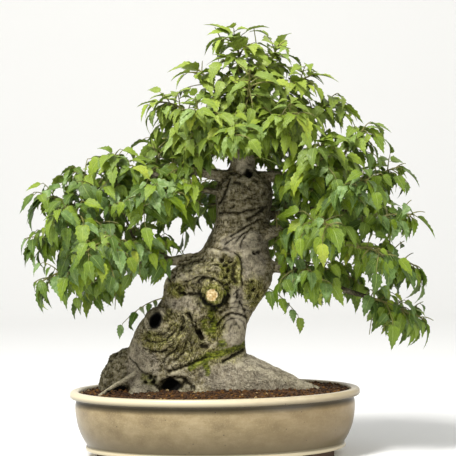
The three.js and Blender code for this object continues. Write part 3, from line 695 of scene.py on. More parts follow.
def squeezed(points, centre, way, share, reach):
    """Points near a centre pushed together along one way, which makes a round hole oval."""
    away = points - np.array(centre, float)
    fade = np.clip((reach - np.linalg.norm(away, axis=1)) / (0.5 * reach), 0, 1)
    return points - (share * (away @ np.array(way)) * fade)[:, None] * np.array(way)


def soft_noise(points, size, seed=0.0):
    shift = Vector((seed, 1.7 * seed, 2.3 * seed))
    return np.array([noise.noise(Vector(p) / size + shift) for p in points])


def pushed(points, reach, size):
    """Points moved about by soft noise."""
    moves = [soft_noise(points, size, seed) for seed in (11.0, 23.0, 37.0)]
    return points + reach * np.stack(moves, axis=1)


def gnarled(points, size):
    """Sharp creases between rounded lumps."""
    return np.array([noise.turbulence(Vector(p) / size, 3, True) for p in points])


# %% [markdown]
# Every share is worked out for all points of the skin at once. The sum of them moves each
# point along its normal, and less so where the wood is thin.

# %% Raise and furrow the bark
BURL = (-26, 272, 44, 32)
UNDER_STUB = (-1, 243, 27, 25)
UPPER_TRUNK = (48, 372, 60, 62)
UNDER_HOLLOW = (-72, 172, 44, 34)
ROOT_KNOB, ROOT_KNOB_SIZE = (-145, 12, 118), (36, 34, 50)
PIT_DEPTH = 5.0

local = (skin - np.array(POT_CENTRE)) / MM
local = squeezed(local, HOLLOW_MIDDLE, HOLLOW_NARROW, share=0.3, reach=26)
skin = local * MM + np.array(POT_CENTRE)
normals = read(wood_mesh.vertex_normals, "vector")
front = np.clip(-normals[:, 1] * 2, 0, 1) * (local[:, 1] < -8)
seen = np.clip(0.95 - normals[:, 1] * 1.6, 0, 1) * (local[:, 1] < -8)
wandering = pushed(pushed(local, 3, 15), 1.6, 5)
burl = patch(wandering, *BURL)
from_knob = np.linalg.norm((local - ROOT_KNOB) / ROOT_KNOB_SIZE, axis=1)
knob = np.clip(2.2 - 2 * from_knob, 0, 1)
relief = 1.6 + 1.4 * soft_noise(local, 24, 1.0) + 0.8 * soft_noise(local, 9, 2.0)
clean = np.max([patch(wandering, *spot) for spot in CLEAN], axis=0)
rough = 1 - 0.85 * clean
lumps = gnarled(local, 7) - 0.4
big_lumps = gnarled(pushed(local, 4, 12), 13) - 0.4
relief += 1.9 * lumps * rough
gnarls = np.maximum(burl * front, knob)
gnarls = np.maximum(gnarls, 0.8 * patch(wandering, *UNDER_STUB) * front)
relief += (4.0 * big_lumps + 2.0 * lumps) * gnarls
# painted shade: the creases between lumps, the pits and the sunken marks are darkened where shade
# falls
crease_shade = np.clip(-1.6 * lumps - 0.15, 0, 0.5) * rough
crease_shade = np.maximum(crease_shade, np.clip(-2.0 * big_lumps - 0.1, 0, 0.6) * gnarls)
for x, z, reach in BURL_PITS:
    hole = patch(wandering, x, z, reach, 0.8 * reach) * front
    relief -= PIT_DEPTH * hole
    crease_shade = np.maximum(crease_shade, hole)
folds = gnarled(pushed(local, 7, 26) * (0.4, 0.4, 1.0), 6)
relief += (0.5 - 1.1 * folds) * patch(local, *UNDER_HOLLOW) * front
upper = patch(local, *UPPER_TRUNK)
relief += (0.6 - 1.3 * gnarled(local * (0.35, 0.35, 1.0), 6)) * upper
for path, width, rise, dark in MARKS:
    gap = in_paths(0.75 * wandering + 0.25 * local, path) / width
    relief += rise * np.exp(-(gap**2)) * front
    crease_shade = np.maximum(crease_shade, dark * np.exp(-((gap / 0.75) ** 2)) * seen)
relief *= 0.12 + 0.88 * thick
relief += 0.3 * (1 - thick)
skin = skin + normals * relief[:, None] * MM
skin = relax(skin, skin_edges, np.full(len(skin), 0.2), 1)
write_points(wood_mesh, skin)
print("bark relief, mm:", round(float(relief.min()), 1), "to", round(float(relief.max()), 1))

# %% [markdown]
# What colours the bark depends on where it is. Moss keeps to the damp band under the stub and
# drips below it, the sawn face is bare pale wood, hollows are painted black as shade, and the
# big roots are clean and grey while the rest is olive brown. The upper trunk under the crown
# carries painted shade. These shares are stored on the points, and the finish reads them. How
# far a point lies below its neighbours darkens it too, as painted shade with the dirt that
# gathers there, and how far it stands above them lightens it, as a painted highlight.

# %% Store moss, wound and shade on the skin
MOSSES = [
    # path of (x, z), width, strength
    ([(-3, 218), (0, 206), (-2, 192)], 6, 1.1),
    ([(-15, 206), (-11, 189)], 8, 0.75),
    ([(-35, 139), (-16, 148), (2, 155), (24, 160), (47, 167)], 6.5, 1.2),
    ([(-13, 150), (-10, 130)], 6, 1.0),
    ([(10, 171), (13, 172)], 8, 0.9),
    ([(-96, 193), (-94, 175), (-79, 171), (-64, 181)], 7, 0.5),
    ([(-16, 236), (0, 222), (16, 232), (20, 250)], 6, 0.8),
    ([(104, 113), (140, 100)], 9, 0.3),
    ([(-104, 122), (-90, 116)], 10, 0.5),
    ([(-50, 252), (-52, 270), (-30, 290)], 9, 0.4),
    ([(33, 299), (40, 285), (40, 268), (36, 254)], 4, 0.5),
]


def flow_of(points):
    """Where a point lies across the bark's grain, in millimetres: the grain runs round the
    hollow, the stub and the knob, and elsewhere round the trunk."""
    x, z = points[:, 0], points[:, 2]
    total = 0.12 * np.ones(len(points))
    flow = total * (z + 0.35 * x)
    for (at_x, at_z), reach, squash in ((HOLLOW_AT, 52, 0.8), (STUB_AT, 44, 1), (KNOB_AT, 24, 1)):
        away = np.hypot(x - at_x, (z - at_z) / squash)
        weight = np.exp(-((away / reach) ** 2))
        flow += weight * away
        total += weight
    return flow / total


local = (skin - np.array(POT_CENTRE)) / MM
normals = read(wood_mesh.vertex_normals, "vector")
facing = np.clip(0.6 - normals[:, 1] * 1.6, 0, 1)
film = [strength * patch(wandering, *spot, 0.8) for *spot, strength in FILMS]
film = np.max(film, axis=0) * facing
moss = 0.1 * np.clip(normals[:, 2], 0, 1) + 0.45 * film
for path, width, strength in MOSSES:
    share = np.exp(-((in_paths(wandering, path) / width) ** 2)) * facing
    moss = np.maximum(moss, strength * share)
moss = np.maximum(moss, 0.3 * knob)
# painted shade on the upper trunk under the crown; the root knob and the foot beside it are darker
# bark
dim = 0.55 * patch(local, 52, 388, 62, 48) + 0.3 * patch(local, 80, 340, 30, 60)
dim = np.maximum(dim, 0.85 * knob * (local[:, 1] > -24))
dim = np.maximum(dim, 0.6 * patch(wandering, -97, 118, 15, 13))
# painted shade: black in the hollow, in the crescent under the stub, and in small pits and gaps
away = local - HOLLOW_MIDDLE
narrow, long = away @ np.array(HOLLOW_NARROW) / 10, away @ np.array(HOLLOW_LONG) / 15
pit = np.clip(3.2 - 2.8 * np.hypot(narrow, long), 0, 1) * (np.abs(local[:, 1] + 35) < 25)
crumbly = pushed(wandering, 2.5, 4)
for path, width in (([(-21, 247), (-15, 235), (0, 226)], 6), ([(0, 226), (14, 231), (18, 240)], 4)):
    gap = in_paths(crumbly, path)
    pit = np.maximum(pit, np.clip(1.5 - gap / width, 0, 0.94) * seen)
for spot in ((-64, 110, 13, 12), (-146, 103, 15, 5), (*KNOT_AT, 5, 5)):
    pit = np.maximum(pit, patch(wandering, *spot, 0.35) * front)
away = local - np.array(STUB_MIDDLE, float)
along = away @ np.array(STUB_WAY)
beside = np.linalg.norm(away - along[:, None] * np.array(STUB_WAY), axis=1)
ragged = 8.4 + 2.0 * soft_noise(local, 5, 8.0)
stump = (beside < ragged) * np.clip((along + 8) / 3, 0, 1) * np.clip((16 - along) / 3, 0, 1)
average = skin
for _ in range(6):
    average = neighbour_mean(average, skin_edges)
sunk = ((average - skin) * normals).sum(axis=1) / MM
broken = np.clip(0.8 + 0.9 * soft_noise(local, 4, 6.0), 0.25, 1)
lines = 0.6 + 0.4 * patch(local, -60, 180, 54, 54) - 0.4 * patch(local, 34, 190, 22, 24)
shares = {
    "moss": moss,
    "sawn": stump,
    "pit": pit,
    # painted shade: creases, pits and marks, and skin that lies below its neighbours
    "shade": crease_shade**1.5 * broken + np.clip(sunk * 1.4 - 0.06, 0, 0.9),
    # painted highlight: bark that stands above its neighbours is lightened
    "worn": -sunk * 1.5,
    "clean": clean,
    "film": film,
    "lines": lines,
    "dim": dim,
    "thick": np.maximum(thick, local[:, 2] < 150),
}
shares = {name: np.clip(values, 0, 1) for name, values in shares.items()}
shares["flow"] = flow_of(wandering)
for name, values in shares.items():
    made = wood_mesh.attributes.new(name, "FLOAT", "POINT")
    made.data.foreach_set("value", values.astype(np.float32))
print("mossy share of the bark:", round(float((moss > 0.4).mean()), 2))

# %% [markdown]
# Bark is cork: dull, fine-grained and a warm grey where it is clean, and olive brown where
# algae and dust lie on it. Twigs are browner and darker than the trunk. Moss is a soft olive
# to vivid green whose short leaves make a bump about a millimetre across. The cork's own grain
# is finer than a pixel of the render, so it is drawn coarse enough to show.

# %% Bark
bark, tree = new_finish("grey_hackberry_bark", Roughness=0.88, Specular_IOR_Level=0.12)
stored = {name: add(tree, "Attribute", out="Fac", attribute_name=name) for name in shares}
broad = blotches(tree, 18, 5, 0.65)
fine = blotches(tree, 2.6, 5, 0.7, (1.4, 1.4, 0.5))
streak = blotches(tree, 5, 5, 0.7, (1.5, 1.5, 0.35))
mossy = blotches(tree, 3.2, 5, 0.65, (0.5, 1, 1.4))
tones = {}
for name, pattern, *stops in (
    ("grey", broad, (0.28, "#766b56"), (0.42, "#938874"), (0.56, "#a79c8a"), (0.72, "#beb4a1")),
    ("brown", streak, (0.3, "#443a1b"), (0.45, "#71663e"), (0.58, "#908557"), (0.75, "#b6ab80")),
    ("dirt", fine, (0.34, "#231c0b"), (0.46, "#6d6449"), (0.56, "#a69c84"), (0.68, "#ded6c0")),
    ("olive", fine, (0.34, "#171504"), (0.44, "#504c1a"), (0.55, "#989150"), (0.66, "#d2cc90")),
    ("moss", mossy, (0.36, "#232a05"), (0.46, "#49520e"), (0.56, "#6f7819"), (0.68, "#a3a838")),
    ("sawn", blotches(tree, 4), (0.35, "#b08f54"), (0.65, "#efdcae")),
):
    tones[name] = add(tree, "ValToRGB", [pattern], stops=stops)


def grain_lines(pitch_mm, wander):
    """Fine lines that follow the stored flow of the bark, pitch_mm apart."""
    shaken = [blotches(tree, 15), wander, stored["flow"]]
    shaken = add(tree, "Math", shaken, operation="MULTIPLY_ADD")
    phase = add(tree, "Math", [shaken, 2 * math.pi / pitch_mm], operation="MULTIPLY")
    return add(tree, "Math", [phase], operation="SINE")


coarse = add(tree, "MapRange", [grain_lines(5.4, 22.0), 0.35, 1.0])
thin = add(tree, "MapRange", [grain_lines(3.4, 30.0), 0.3, 1.0])
wrinkles = add(tree, "Math", [coarse, thin], operation="MAXIMUM")
scattered = add(tree, "MapRange", [blotches(tree, 9, 4), 0.4, 0.58])
for share in (scattered, stored["lines"]):
    wrinkles = add(tree, "Math", [wrinkles, share], operation="MULTIPLY")
pores = add(tree, "TexVoronoi", [add(tree, "TexCoord", out="Object"), 1 / (4.5 * MM)])
pores = add(tree, "MapRange", [pores, 0.1, 0.24, 0.75, 0.0])
here = add(tree, "MapRange", [blotches(tree, 8, 2), 0.45, 0.6])
pores = add(tree, "Math", [pores, here], operation="MULTIPLY")
bare = add(tree, "Math", [stored["clean"], broad], operation="ADD")
bare = add(tree, "MapRange", [bare, 0.75, 1.2])
coated = add(tree, "Math", [blotches(tree, 7, 5, 0.65), stored["film"]], operation="ADD")
flecks = [bare, 0.06, blotches(tree, 5.5, 5, 0.7, (0.6, 0.6, 1))]
flecks = add(tree, "Math", flecks, operation="MULTIPLY_ADD")
patchy = [blotches(tree, 8, 4, 0.6, (0.6, 1, 1.5)), stored["moss"]]
patchy = add(tree, "Math", patchy, operation="ADD")
cork = coats(
    tree,
    tones["brown"],
    (tones["grey"], bare),
    (tones["dirt"], 0.5),
    # painted highlight on raised bark
    ("#bdb498", stored["worn"], 0.0, 1.0, 0.0, 0.7),
    (tones["olive"], coated, 0.85, 1.35, 0.0, 0.95),
    ("#2e260f", wrinkles),
    ("#2a2312", pores),
    # painted shade on the upper trunk, and darker bark on the root knob
    ("#2f2c13", stored["dim"], 0.0, 1.0, 0.0, 0.75),
    ("#3c3722", stored["thick"], 0.02, 0.3, 0.85, 0.0),
    ("#1c1604", flecks, 0.36, 0.46, 0.75, 0.0),
    ("#cfc6ab", flecks, 0.54, 0.66, 0.0, 0.3),
    (tones["moss"], patchy, 0.85, 1.35, 0.0, 0.85),
    # painted shade in creases, pits and marks
    ("#151005", stored["shade"], 0.0, 1.0, 0.0, 0.92),
    # painted shade, black in the hollow and the pits
    ("#080603", stored["pit"]),
    (tones["sawn"], stored["sawn"]),
)
furrows = [wrinkles, -0.9, blotches(tree, 1.8, 6, 0.75, (1.3, 1.3, 0.6))]
dress(tree, cork, add(tree, "Math", furrows, operation="MULTIPLY_ADD"), 1.0, 1.7)
finish_piece(wood_mesh, "wood_bark", [bark], ["trunk_and_branches"])
wood_tree = ray_tree(wood_mesh, skin)

# %% [markdown]
# The soil is a mix of small baked grains, dark and reddish when damp. A sheet that follows the
# mound fills the pot, and loose grains lie on it. Grains are twenty-sided balls, each
# squashed, turned and sized by its own draw, so that no two are alike.

# %% Soil
SOIL_AT_WALL = 96
SOIL_MOUND = 8
SOIL_EDGE = 147
GRAINS = 2600


def soil_height(x, y):
    """Height of the mound at a place, from the wall up to the trunk."""
    across = math.hypot(x / (SOIL_EDGE + POT_STRETCH), y / SOIL_EDGE)
    slope = SOIL_MOUND * (1 - min(1, across) ** 2)
    bumps = 1.3 * noise.noise(Vector((x, y, 0)) / 9) + 1.6 * noise.noise(Vector((x, y, 9)) / 26)
    return SOIL_AT_WALL + slope + bumps


soil_finish, tree = new_finish("damp_baked_soil", Roughness=0.92)
crumb = blotches(tree, 2.2, 4)
tone = add(tree, "Attribute", out="Fac", attribute_name="tone")
damp = add(tree, "Math", [tone, crumb], operation="ADD")
damp = add(tree, "MapRange", [damp, 0.3, 1.6])
stops = [(0.0, "#150b02"), (0.35, "#3b2204"), (0.6, "#5f3b0b"), (0.82, "#7f591b"), (1.0, "#bba678")]
dress(tree, add(tree, "ValToRGB", [damp], stops=stops), crumb, 0.8, 0.8)

# %% [markdown]
# The sheet starts as a square grid. Its points are moved from the square to a disc and then to
# the pot's oval, the whole sheet is extruded down to the pot's floor, and the lower side is
# drawn in, because the pot narrows towards its foot.

# %% The bed of soil
BED_GAP = 1.5
BED_NARROWED = 0.86
BED_TONE = 0.35

bm = bmesh.new()
bmesh.ops.create_grid(bm, x_segments=130, y_segments=96, size=1)
for vertex in bm.verts:
    x, y = vertex.co.x, vertex.co.y
    place_x = x * math.sqrt(1 - y * y / 2) * (SOIL_EDGE - BED_GAP + POT_STRETCH)
    place_y = y * math.sqrt(1 - x * x / 2) * (SOIL_EDGE - BED_GAP)
    vertex.co = (place_x, place_y, soil_height(place_x, place_y))
grown = bmesh.ops.extrude_face_region(bm, geom=list(bm.faces))["geom"]
for vertex in points_of(grown):
    vertex.co = (vertex.co.x * BED_NARROWED, vertex.co.y * BED_NARROWED, FLOOR_TOP + 2)
bmesh.ops.recalc_face_normals(bm, faces=bm.faces)
to_frame(bm)
bed_faces = len(bm.faces)
tone_layer = bm.faces.layers.float.new("tone")
for face in bm.faces:
    face[tone_layer] = BED_TONE
print("faces in the bed of soil:", bed_faces)

# %% [markdown]
# Each loose grain is laid where a draw puts it, unless the wood is already there. Most are
# small and dark, and one in some seventy is a pale grit.

# %% Grains on the soil
seed_grain = bmesh.new()
bmesh.ops.create_icosphere(seed_grain, subdivisions=1, radius=1)
grain_mesh = to_mesh(seed_grain, "grain")
grain_tone = grain_mesh.attributes.new("tone", "FLOAT", "FACE")
ball = read(grain_mesh.vertices, "co")
laid = 0
for n in range(GRAINS * 2):
    if laid >= GRAINS:
        break
    across = math.sqrt(draw(n + 0.11))
    angle = 2 * math.pi * draw(n + 0.37)
    x = across * math.cos(angle) * (SOIL_EDGE - 2 + POT_STRETCH)
    y = across * math.sin(angle) * (SOIL_EDGE - 2)
    size = mix(1.1, 3.2, draw(n + 0.53) ** 2)
    pale = draw(n + 0.71) > 0.985
    spot = place(x, y, soil_height(x, y) + size * 0.35)
    near, facing, _, gap = wood_tree.find_nearest(spot)
    if (spot - near).dot(facing) < 0.4 * MM:
        continue
    shape = Matrix.Diagonal((1, mix(0.65, 1, draw(n + 0.83)), mix(0.55, 0.9, draw(n + 0.91)), 1))
    turn = Matrix.Rotation(6.3 * draw(n + 0.23), 4, "Z") @ Matrix.Rotation(swing(n, 0.6), 4, "X")
    matrix = np.array(Matrix.Translation(spot) @ turn @ shape @ Matrix.Scale(size * MM, 4))
    write_points(grain_mesh, ball @ matrix[:3, :3].T + matrix[:3, 3])
    shade_of_grain = 1.0 if pale else 0.75 * draw(n + 0.97) ** 1.5
    grain_tone.data.foreach_set("value", [shade_of_grain] * len(grain_mesh.polygons))
    bm.from_mesh(grain_mesh)
    laid += 1
soil = finish_piece(bm, "soil_grains", [soil_finish], ["soil"], smooth=False)
smooth = [i < bed_faces for i in range(len(soil.data.polygons))]
soil.data.polygons.foreach_set("use_smooth", smooth)
print("grains:", laid)

# %% [markdown]
# A leaf of this tree is an uneven egg shape with a drawn-out point, a toothed edge and three
# main veins. It is modelled once: a grid is narrowed to the outline, its edge drawn into
# teeth, and a second layer below closes it along the edge. Every leaf on the plant is that
# one, bent along its own arc.

# %% Model one leaf
LEAF_ROWS = 12
STALK_SHARE = 0.13
LEAF_LENGTH = 47
LEAF_WIDTH = 23
BLADE_THICK = 0.55
STALK_DEEPER = 11


def blade_width(share):
    """Half width at a share of the blade's length: widest near a quarter, with a long tip."""
    share = clamp(share, 0, 1)
    return 3.55 * share**0.6 * (1 - share) ** 1.75


def leaf_template():
    """A flat leaf: x is -1 to 1 across, y is 0 to 1 along, z is millimetres of thickness."""
    bm = bmesh.new()
    bmesh.ops.create_grid(bm, x_segments=2, y_segments=LEAF_ROWS, size=1)
    uv = bm.loops.layers.uv.new("blade")
    for face in bm.faces:
        for loop in face.loops:
            loop[uv].uv = ((loop.vert.co.x + 1) / 2, (loop.vert.co.y + 1) / 2)
    for vertex in bm.verts:
        side = round(vertex.co.x)
        row = round((vertex.co.y + 1) / 2 * LEAF_ROWS)
        share = row / LEAF_ROWS
        toothed = side != 0 and 2 < row < LEAF_ROWS
        tooth = (0.86 if row % 2 else 1.08) if toothed else 1
        forward = 0.03 if toothed and row % 2 == 0 else 0
        leaning = share + 0.02 * side * (1 - share)
        vertex.co.x = side * blade_width(leaning) * tooth
        vertex.co.y = STALK_SHARE + (1 - STALK_SHARE) * (share + forward)
        vertex.co.z = BLADE_THICK / 2 if side == 0 and 0 < row < LEAF_ROWS else 0
    under = bmesh.ops.duplicate(bm, geom=list(bm.verts) + list(bm.edges) + list(bm.faces))["geom"]
    lower_faces = [part for part in under if isinstance(part, bmesh.types.BMFace)]
    bmesh.ops.scale(bm, verts=points_of(under), vec=(1, 1, -1))
    bmesh.ops.reverse_faces(bm, faces=lower_faces)
    for face in lower_faces:
        face.material_index = 1
    bmesh.ops.remove_doubles(bm, verts=bm.verts, dist=1e-5)
    bmesh.ops.dissolve_degenerate(bm, dist=1e-6, edges=bm.edges)
    for edge in bm.edges:
        edge.smooth = len({face.material_index for face in edge.link_faces}) == 1
    long = STALK_SHARE + 0.05
    middle = Matrix.Translation((0, long / 2, 0)) @ Matrix.Rotation(-math.pi / 2, 4, "X")
    stalk = bmesh.ops.create_cone(
        bm, cap_ends=True, segments=4, radius1=0.055, radius2=0.045, depth=long, matrix=middle
    )
    for vertex in stalk["verts"]:
        vertex.co.z *= STALK_DEEPER
        for face in vertex.link_faces:
            face.material_index = 2
    return to_mesh(bm, "leaf")


leaf_mesh = leaf_template()
leaf_points = read(leaf_mesh.vertices, "co")
print("one leaf has", len(leaf_mesh.polygons), "faces")

# %% [markdown]
# A shoot is a start, a direction, a length and a sag. A leaf has a root on its shoot, an axis,
# a face that looks up, a length, a width, a droop and a fold along its midrib. The rules that
# place the main shoots and their leaves are those of the solid model, so the two agree. Each
# spray has a main shoot, and a side shoot that leaves it at a quarter of its length.

# %% Rules for shoots
SHOOT_LENGTH = 66
SIDE_SHOOT_AT = 0.25
SIDE_SHOOT_LENGTH = 0.66
SHOOT_SAG = 0.28
SIDE_SAG = 0.3
LEAVES_ON = ((0.14, 0.42, 0.7, 1), (0.55, 1))
TRIES = 12

Shoot = namedtuple("Shoot", "start direction length bend thick thin steps")


def shoot_curve(shoot, t):
    return shoot.start + (shoot.direction * t + shoot.bend * (t * t)) * shoot.length


def shoot_point(shoot, t):
    """A point on the straight steps that the solid shoot is made of."""
    step = min(math.floor(t * shoot.steps), shoot.steps - 1)
    low, high = (shoot_curve(shoot, i / shoot.steps) for i in (step, step + 1))
    return low.lerp(high, t * shoot.steps - step)


def shoot_way(shoot, t):
    return (shoot.direction + shoot.bend * (2 * t)).normalized()


def main_shoots(start, direction, seed):
    main_bend = Vector((swing(seed + 1, 0.12), swing(seed + 2, 0.12), -SHOOT_SAG))
    main = Shoot(start, direction, SHOOT_LENGTH, main_bend, 2.4, 1.3, 3)
    way = shoot_way(main, SIDE_SHOOT_AT)
    across = UP.cross(way).normalized()
    angle = 0.95 + swing(seed + 5, 0.18)
    turn = -1 if draw(seed + 4) < 0.5 else 1
    aside = way * math.cos(angle) + across * (turn * math.sin(angle))
    aside = (aside + UP * (0.1 + swing(seed + 9, 0.15))).normalized()
    length = SHOOT_LENGTH * SIDE_SHOOT_LENGTH * (1 + swing(seed + 13, 0.12))
    foot, sag = shoot_point(main, SIDE_SHOOT_AT), Vector((0, 0, -SIDE_SAG))
    return [main, Shoot(foot, aside, length, sag, 1.7, 1.1, 2)]


# %% [markdown]
# A leaf hangs more the lower it grows, and its face turns outwards from the crown. Each try
# at a leaf lifts and turns it a little more, so that it can find room. To bend the flat leaf,
# its points are laid along an arc, folded up on both sides of the midrib, waved and twisted.

# %% Rules for leaves


def tone_of_leaf(seed, t):
    """Old leaves are dark, with a painted pale sheen at the lowest tones; most are mid green, and
    those near a tip are often young.
    """
    kind = draw(seed) + (0.12 if t > 0.9 else 0)
    within = draw(seed + 0.5)
    if kind < 0.42:
        return 0.3 * within
    return mix(0.32, 0.7, within) if kind < 1.02 else mix(0.72, 1.0, within)


def leaf_at(shoot, t, side, seed, attempt, outward=None):
    way = shoot_way(shoot, min(t, 0.98))
    across = UP.cross(way).normalized()
    root = shoot_point(shoot, min(t, 0.985))
    hang = clamp((640 - root.z) / 340, 0.15, 0.9)
    turn = swing(seed, 0.3) if t == 1 else side * (1 + swing(seed, 0.3))
    turn += swing(seed + 31 * attempt, 0.12 * min(attempt, 4))
    lift = -0.9 * hang + swing(seed + 1 + 17 * attempt, 0.4)
    axis = (way * math.cos(turn) + across * math.sin(turn) + UP * lift).normalized()
    outward = outward or Vector((way.x, way.y, 0)).normalized()
    face = UP + outward * (0.3 + 0.7 * hang) + across * swing(seed + 2 + 13 * attempt, 0.5)
    face = (face - axis * face.dot(axis)).normalized()
    size = 0.84 + 0.32 * draw(seed + 3) - 0.02 * attempt
    return SimpleNamespace(
        root=root,
        axis=axis,
        face=face,
        length=LEAF_LENGTH * size,
        width=LEAF_WIDTH * size * (0.92 + 0.16 * draw(seed + 4)),
        droop=0.6 + 0.5 * draw(seed + 5 + 7 * attempt),
        fold=0.22 + 0.16 * draw(seed + 6),
        twist=swing(seed + 7, 0.5),
        tone=tone_of_leaf(seed + 8, t),
    )


def bent_leaf(leaf, flat):
    """The flat leaf's points, bent along a leaf's arc, in millimetres."""
    axis, face = np.array(leaf.axis), np.array(leaf.face)
    across = np.cross(axis, face)
    s = flat[:, 1]
    turned = leaf.droop * s
    away = leaf.length * np.sin(turned) / leaf.droop
    down = leaf.length * (1 - np.cos(turned)) / leaf.droop
    out = flat[:, 0] * leaf.width / 2
    normal = np.cos(turned)[:, None] * face + np.sin(turned)[:, None] * axis
    ruffle = 0.1 * np.sin(11 * s + 9 * leaf.tone)
    lift = np.abs(out) * (leaf.fold + ruffle) + flat[:, 2]
    middle = np.array(leaf.root) + away[:, None] * axis - down[:, None] * face
    cosine, sine = np.cos(leaf.twist * s)[:, None], np.sin(leaf.twist * s)[:, None]
    sideways = cosine * across + sine * normal
    upwards = cosine * normal - sine * across
    return middle + out[:, None] * sideways + lift[:, None] * upwards


LEAF_TIP = np.array([[0.0, 1.0, 0.0]])
print("leaves on a main and a side shoot:", [len(stops) for stops in LEAVES_ON])

# %% [markdown]
# Which leaves the solid model kept is read from the frame: a leaf is there if one of its tries
# puts its tip on a corner of the spray's solid. Where each spray starts is read from it too:
# the three corners nearest the wood are the foot of its main shoot.

# %% Read where the sprays start
SPRAY_COUNTS = {"left": 15, "top": 13, "right": 14, "back": 2}
SPRAY_NAMES = [f"{part}_{i + 1:02d}" for part, n in SPRAY_COUNTS.items() for i in range(n)]
SEED_STEP = 1000
SAME_CORNER = 0.2
cad_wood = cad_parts["trunk_and_branches"].data
cad_wood_tree = ray_tree(cad_wood, [v.co for v in cad_wood.vertices])


def corners_of(node):
    """Every distinct corner of a node, in millimetres from the pot's centre."""
    bm = bmesh.new()
    bm.from_mesh(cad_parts[node].data)
    bmesh.ops.remove_doubles(bm, verts=bm.verts, dist=0.01 * MM)
    corners = [(v.co - POT_CENTRE) / MM for v in bm.verts]
    bm.free()
    return corners


def foot_of_spray(corners):
    def gap(corner):
        return cad_wood_tree.find_nearest(POT_CENTRE + corner * MM)[3]

    foot = sorted(corners, key=gap)[:3]
    centre = (foot[0] + foot[1] + foot[2]) / 3
    direction = (foot[1] - foot[0]).cross(foot[2] - foot[0]).normalized()
    crowd = sum(corners, Vector()) / len(corners)
    return centre, direction if direction.dot(crowd - centre) > 0 else -direction


def kept_leaves(corners, shoots, seed):
    tree = kdtree.KDTree(len(corners))
    for i, corner in enumerate(corners):
        tree.insert(corner, i)
    tree.balance()
    leaves = []
    for index, (shoot, stops) in enumerate(zip(shoots, LEAVES_ON)):
        for i, t in enumerate(stops):
            own = seed + 100 * (index + 1) + 10 * i
            for attempt in range(TRIES):
                leaf = leaf_at(shoot, t, -1 if i % 2 else 1, own, attempt)
                if tree.find(bent_leaf(leaf, LEAF_TIP)[0])[2] < SAME_CORNER:
                    leaves.append(leaf)
                    break
    return leaves


sprays = {}
for n, name in enumerate(SPRAY_NAMES):
    corners = corners_of("spray_" + name)
    start, direction = foot_of_spray(corners)
    seed = (n + 1) * SEED_STEP
    shoots = main_shoots(start, direction, seed)
    sprays[name] = {"seed": seed, "shoots": shoots, "leaves": kept_leaves(corners, shoots, seed)}
print("leaves found in the solids:", sum(len(s["leaves"]) for s in sprays.values()))

# %% [markdown]
# The living crown is much fuller than the solid one. Each spray grows more side shoots all
# round, and short shoots also stand along the branches. A new leaf is kept only if its blade
# stays clear of the leaves that are there, of the wood, of the window through which the
# trunk is seen, and of the outline that the crown is clipped to.

# %% Room for more leaves
CLEAR, WOOD_CLEAR = 2.9, 1.5
WINDOWS = [
    # low and high corners of the room kept free in front of the trunk
    ((-14, -200, 0), (92, 45, 440)),
    ((-14, -200, 0), (96, 45, 352)),
    ((-62, -200, 0), (96, 45, 287)),
    ((-128, -200, 0), (-50, 45, 258)),
]
CLIPPED = [
    # the outline that the crown is clipped to, seen from the front: x and z from the top round
    (26, 655), (63, 657), (98, 653), (108, 624), (127, 601), (159, 585), (176, 556), (200, 540),
    (227, 515), (264, 497), (282, 474), (295, 441), (307, 392), (305, 349), (319, 316),
    (332, 258), (332, 194), (303, 149), (268, 143), (241, 172), (221, 209), (194, 217),
    (164, 211), (122, 231), (-62, 258), (-87, 260), (-95, 240), (-124, 219), (-164, 209),
    (-201, 203), (-212, 170), (-238, 162), (-259, 184), (-265, 240), (-290, 297), (-304, 342),
    (-298, 386), (-275, 421), (-246, 445), (-212, 462), (-164, 476), (-124, 490), (-109, 519),
    (-119, 552), (-95, 575), (-46, 604), (-27, 622), (0, 634), (12, 647),
]
PROBES = np.array(
    [[0, s, 0] for s in (0.35, 0.6, 0.85, 1.0)] + [[x, 0.45, 0] for x in (-0.8, 0.8)]
)


class Crowd:
    """Points on every leaf so far, in cells, so that a new leaf can be tried quickly."""

    def __init__(self, gap):
        self.gap = gap
        self.cells = {}

    def cell(self, point):
        return tuple(math.floor(c / self.gap) for c in point)

    def add(self, points):
        for point in points:
            self.cells.setdefault(self.cell(point), []).append(point)

    def is_clear(self, points):
        for point in points:
            x, y, z = self.cell(point)
            for key in NEARBY:
                for other in self.cells.get((x + key[0], y + key[1], z + key[2]), ()):
                    if math.dist(point, other) < self.gap:
                        return False
        return True


NEARBY = [(i, j, k) for i in (-1, 0, 1) for j in (-1, 0, 1) for k in (-1, 0, 1)]


def in_window(point):
    return any(all(a < p < b for a, p, b in zip(low, point, high)) for low, high in WINDOWS)


def in_crown(x, z):
    """Whether a place lies inside the clipped outline, by counting the sides it is left of."""
    inside = False
    for (x0, z0), (x1, z1) in zip(CLIPPED, CLIPPED[1:] + CLIPPED[:1]):
        if (z0 > z) != (z1 > z) and x < mix(x0, x1, (z - z0) / (z1 - z0)):
            inside = not inside
    return inside


def is_free(points):
    for point in points:
        if in_window(point) or not in_crown(point[0], point[2]):
            return False
        spot = POT_CENTRE + Vector(point) * MM
        near, facing, _, _ = wood_tree.find_nearest(spot)
        if (spot - near).dot(facing) < WOOD_CLEAR * MM:
            return False
    return crowd.is_clear(points)


# %% [markdown]
# Side shoots stand all round each main shoot, longer near its foot. On the branches a shoot
# stands in each small cell of room that the bark crosses, closer together in the apex. All
# of them turn away from the middle of their part of the crown, where the light comes from.

# %% Shoots that fill the crown
EXTRA_SHOOTS = 9
ALONG_GAP, APEX_GAP = 16, 11
LOWEST, TOP_FROM, APEX_FROM = 268, 452, 470
BARE_TRUNK_TO = 445
BRANCH_SEED, TWIG_SEED = 77000, 91000
MIDDLES = {"left": (-150, 20), "top": (48, 15), "right": (185, 15), "back": (70, 40)}


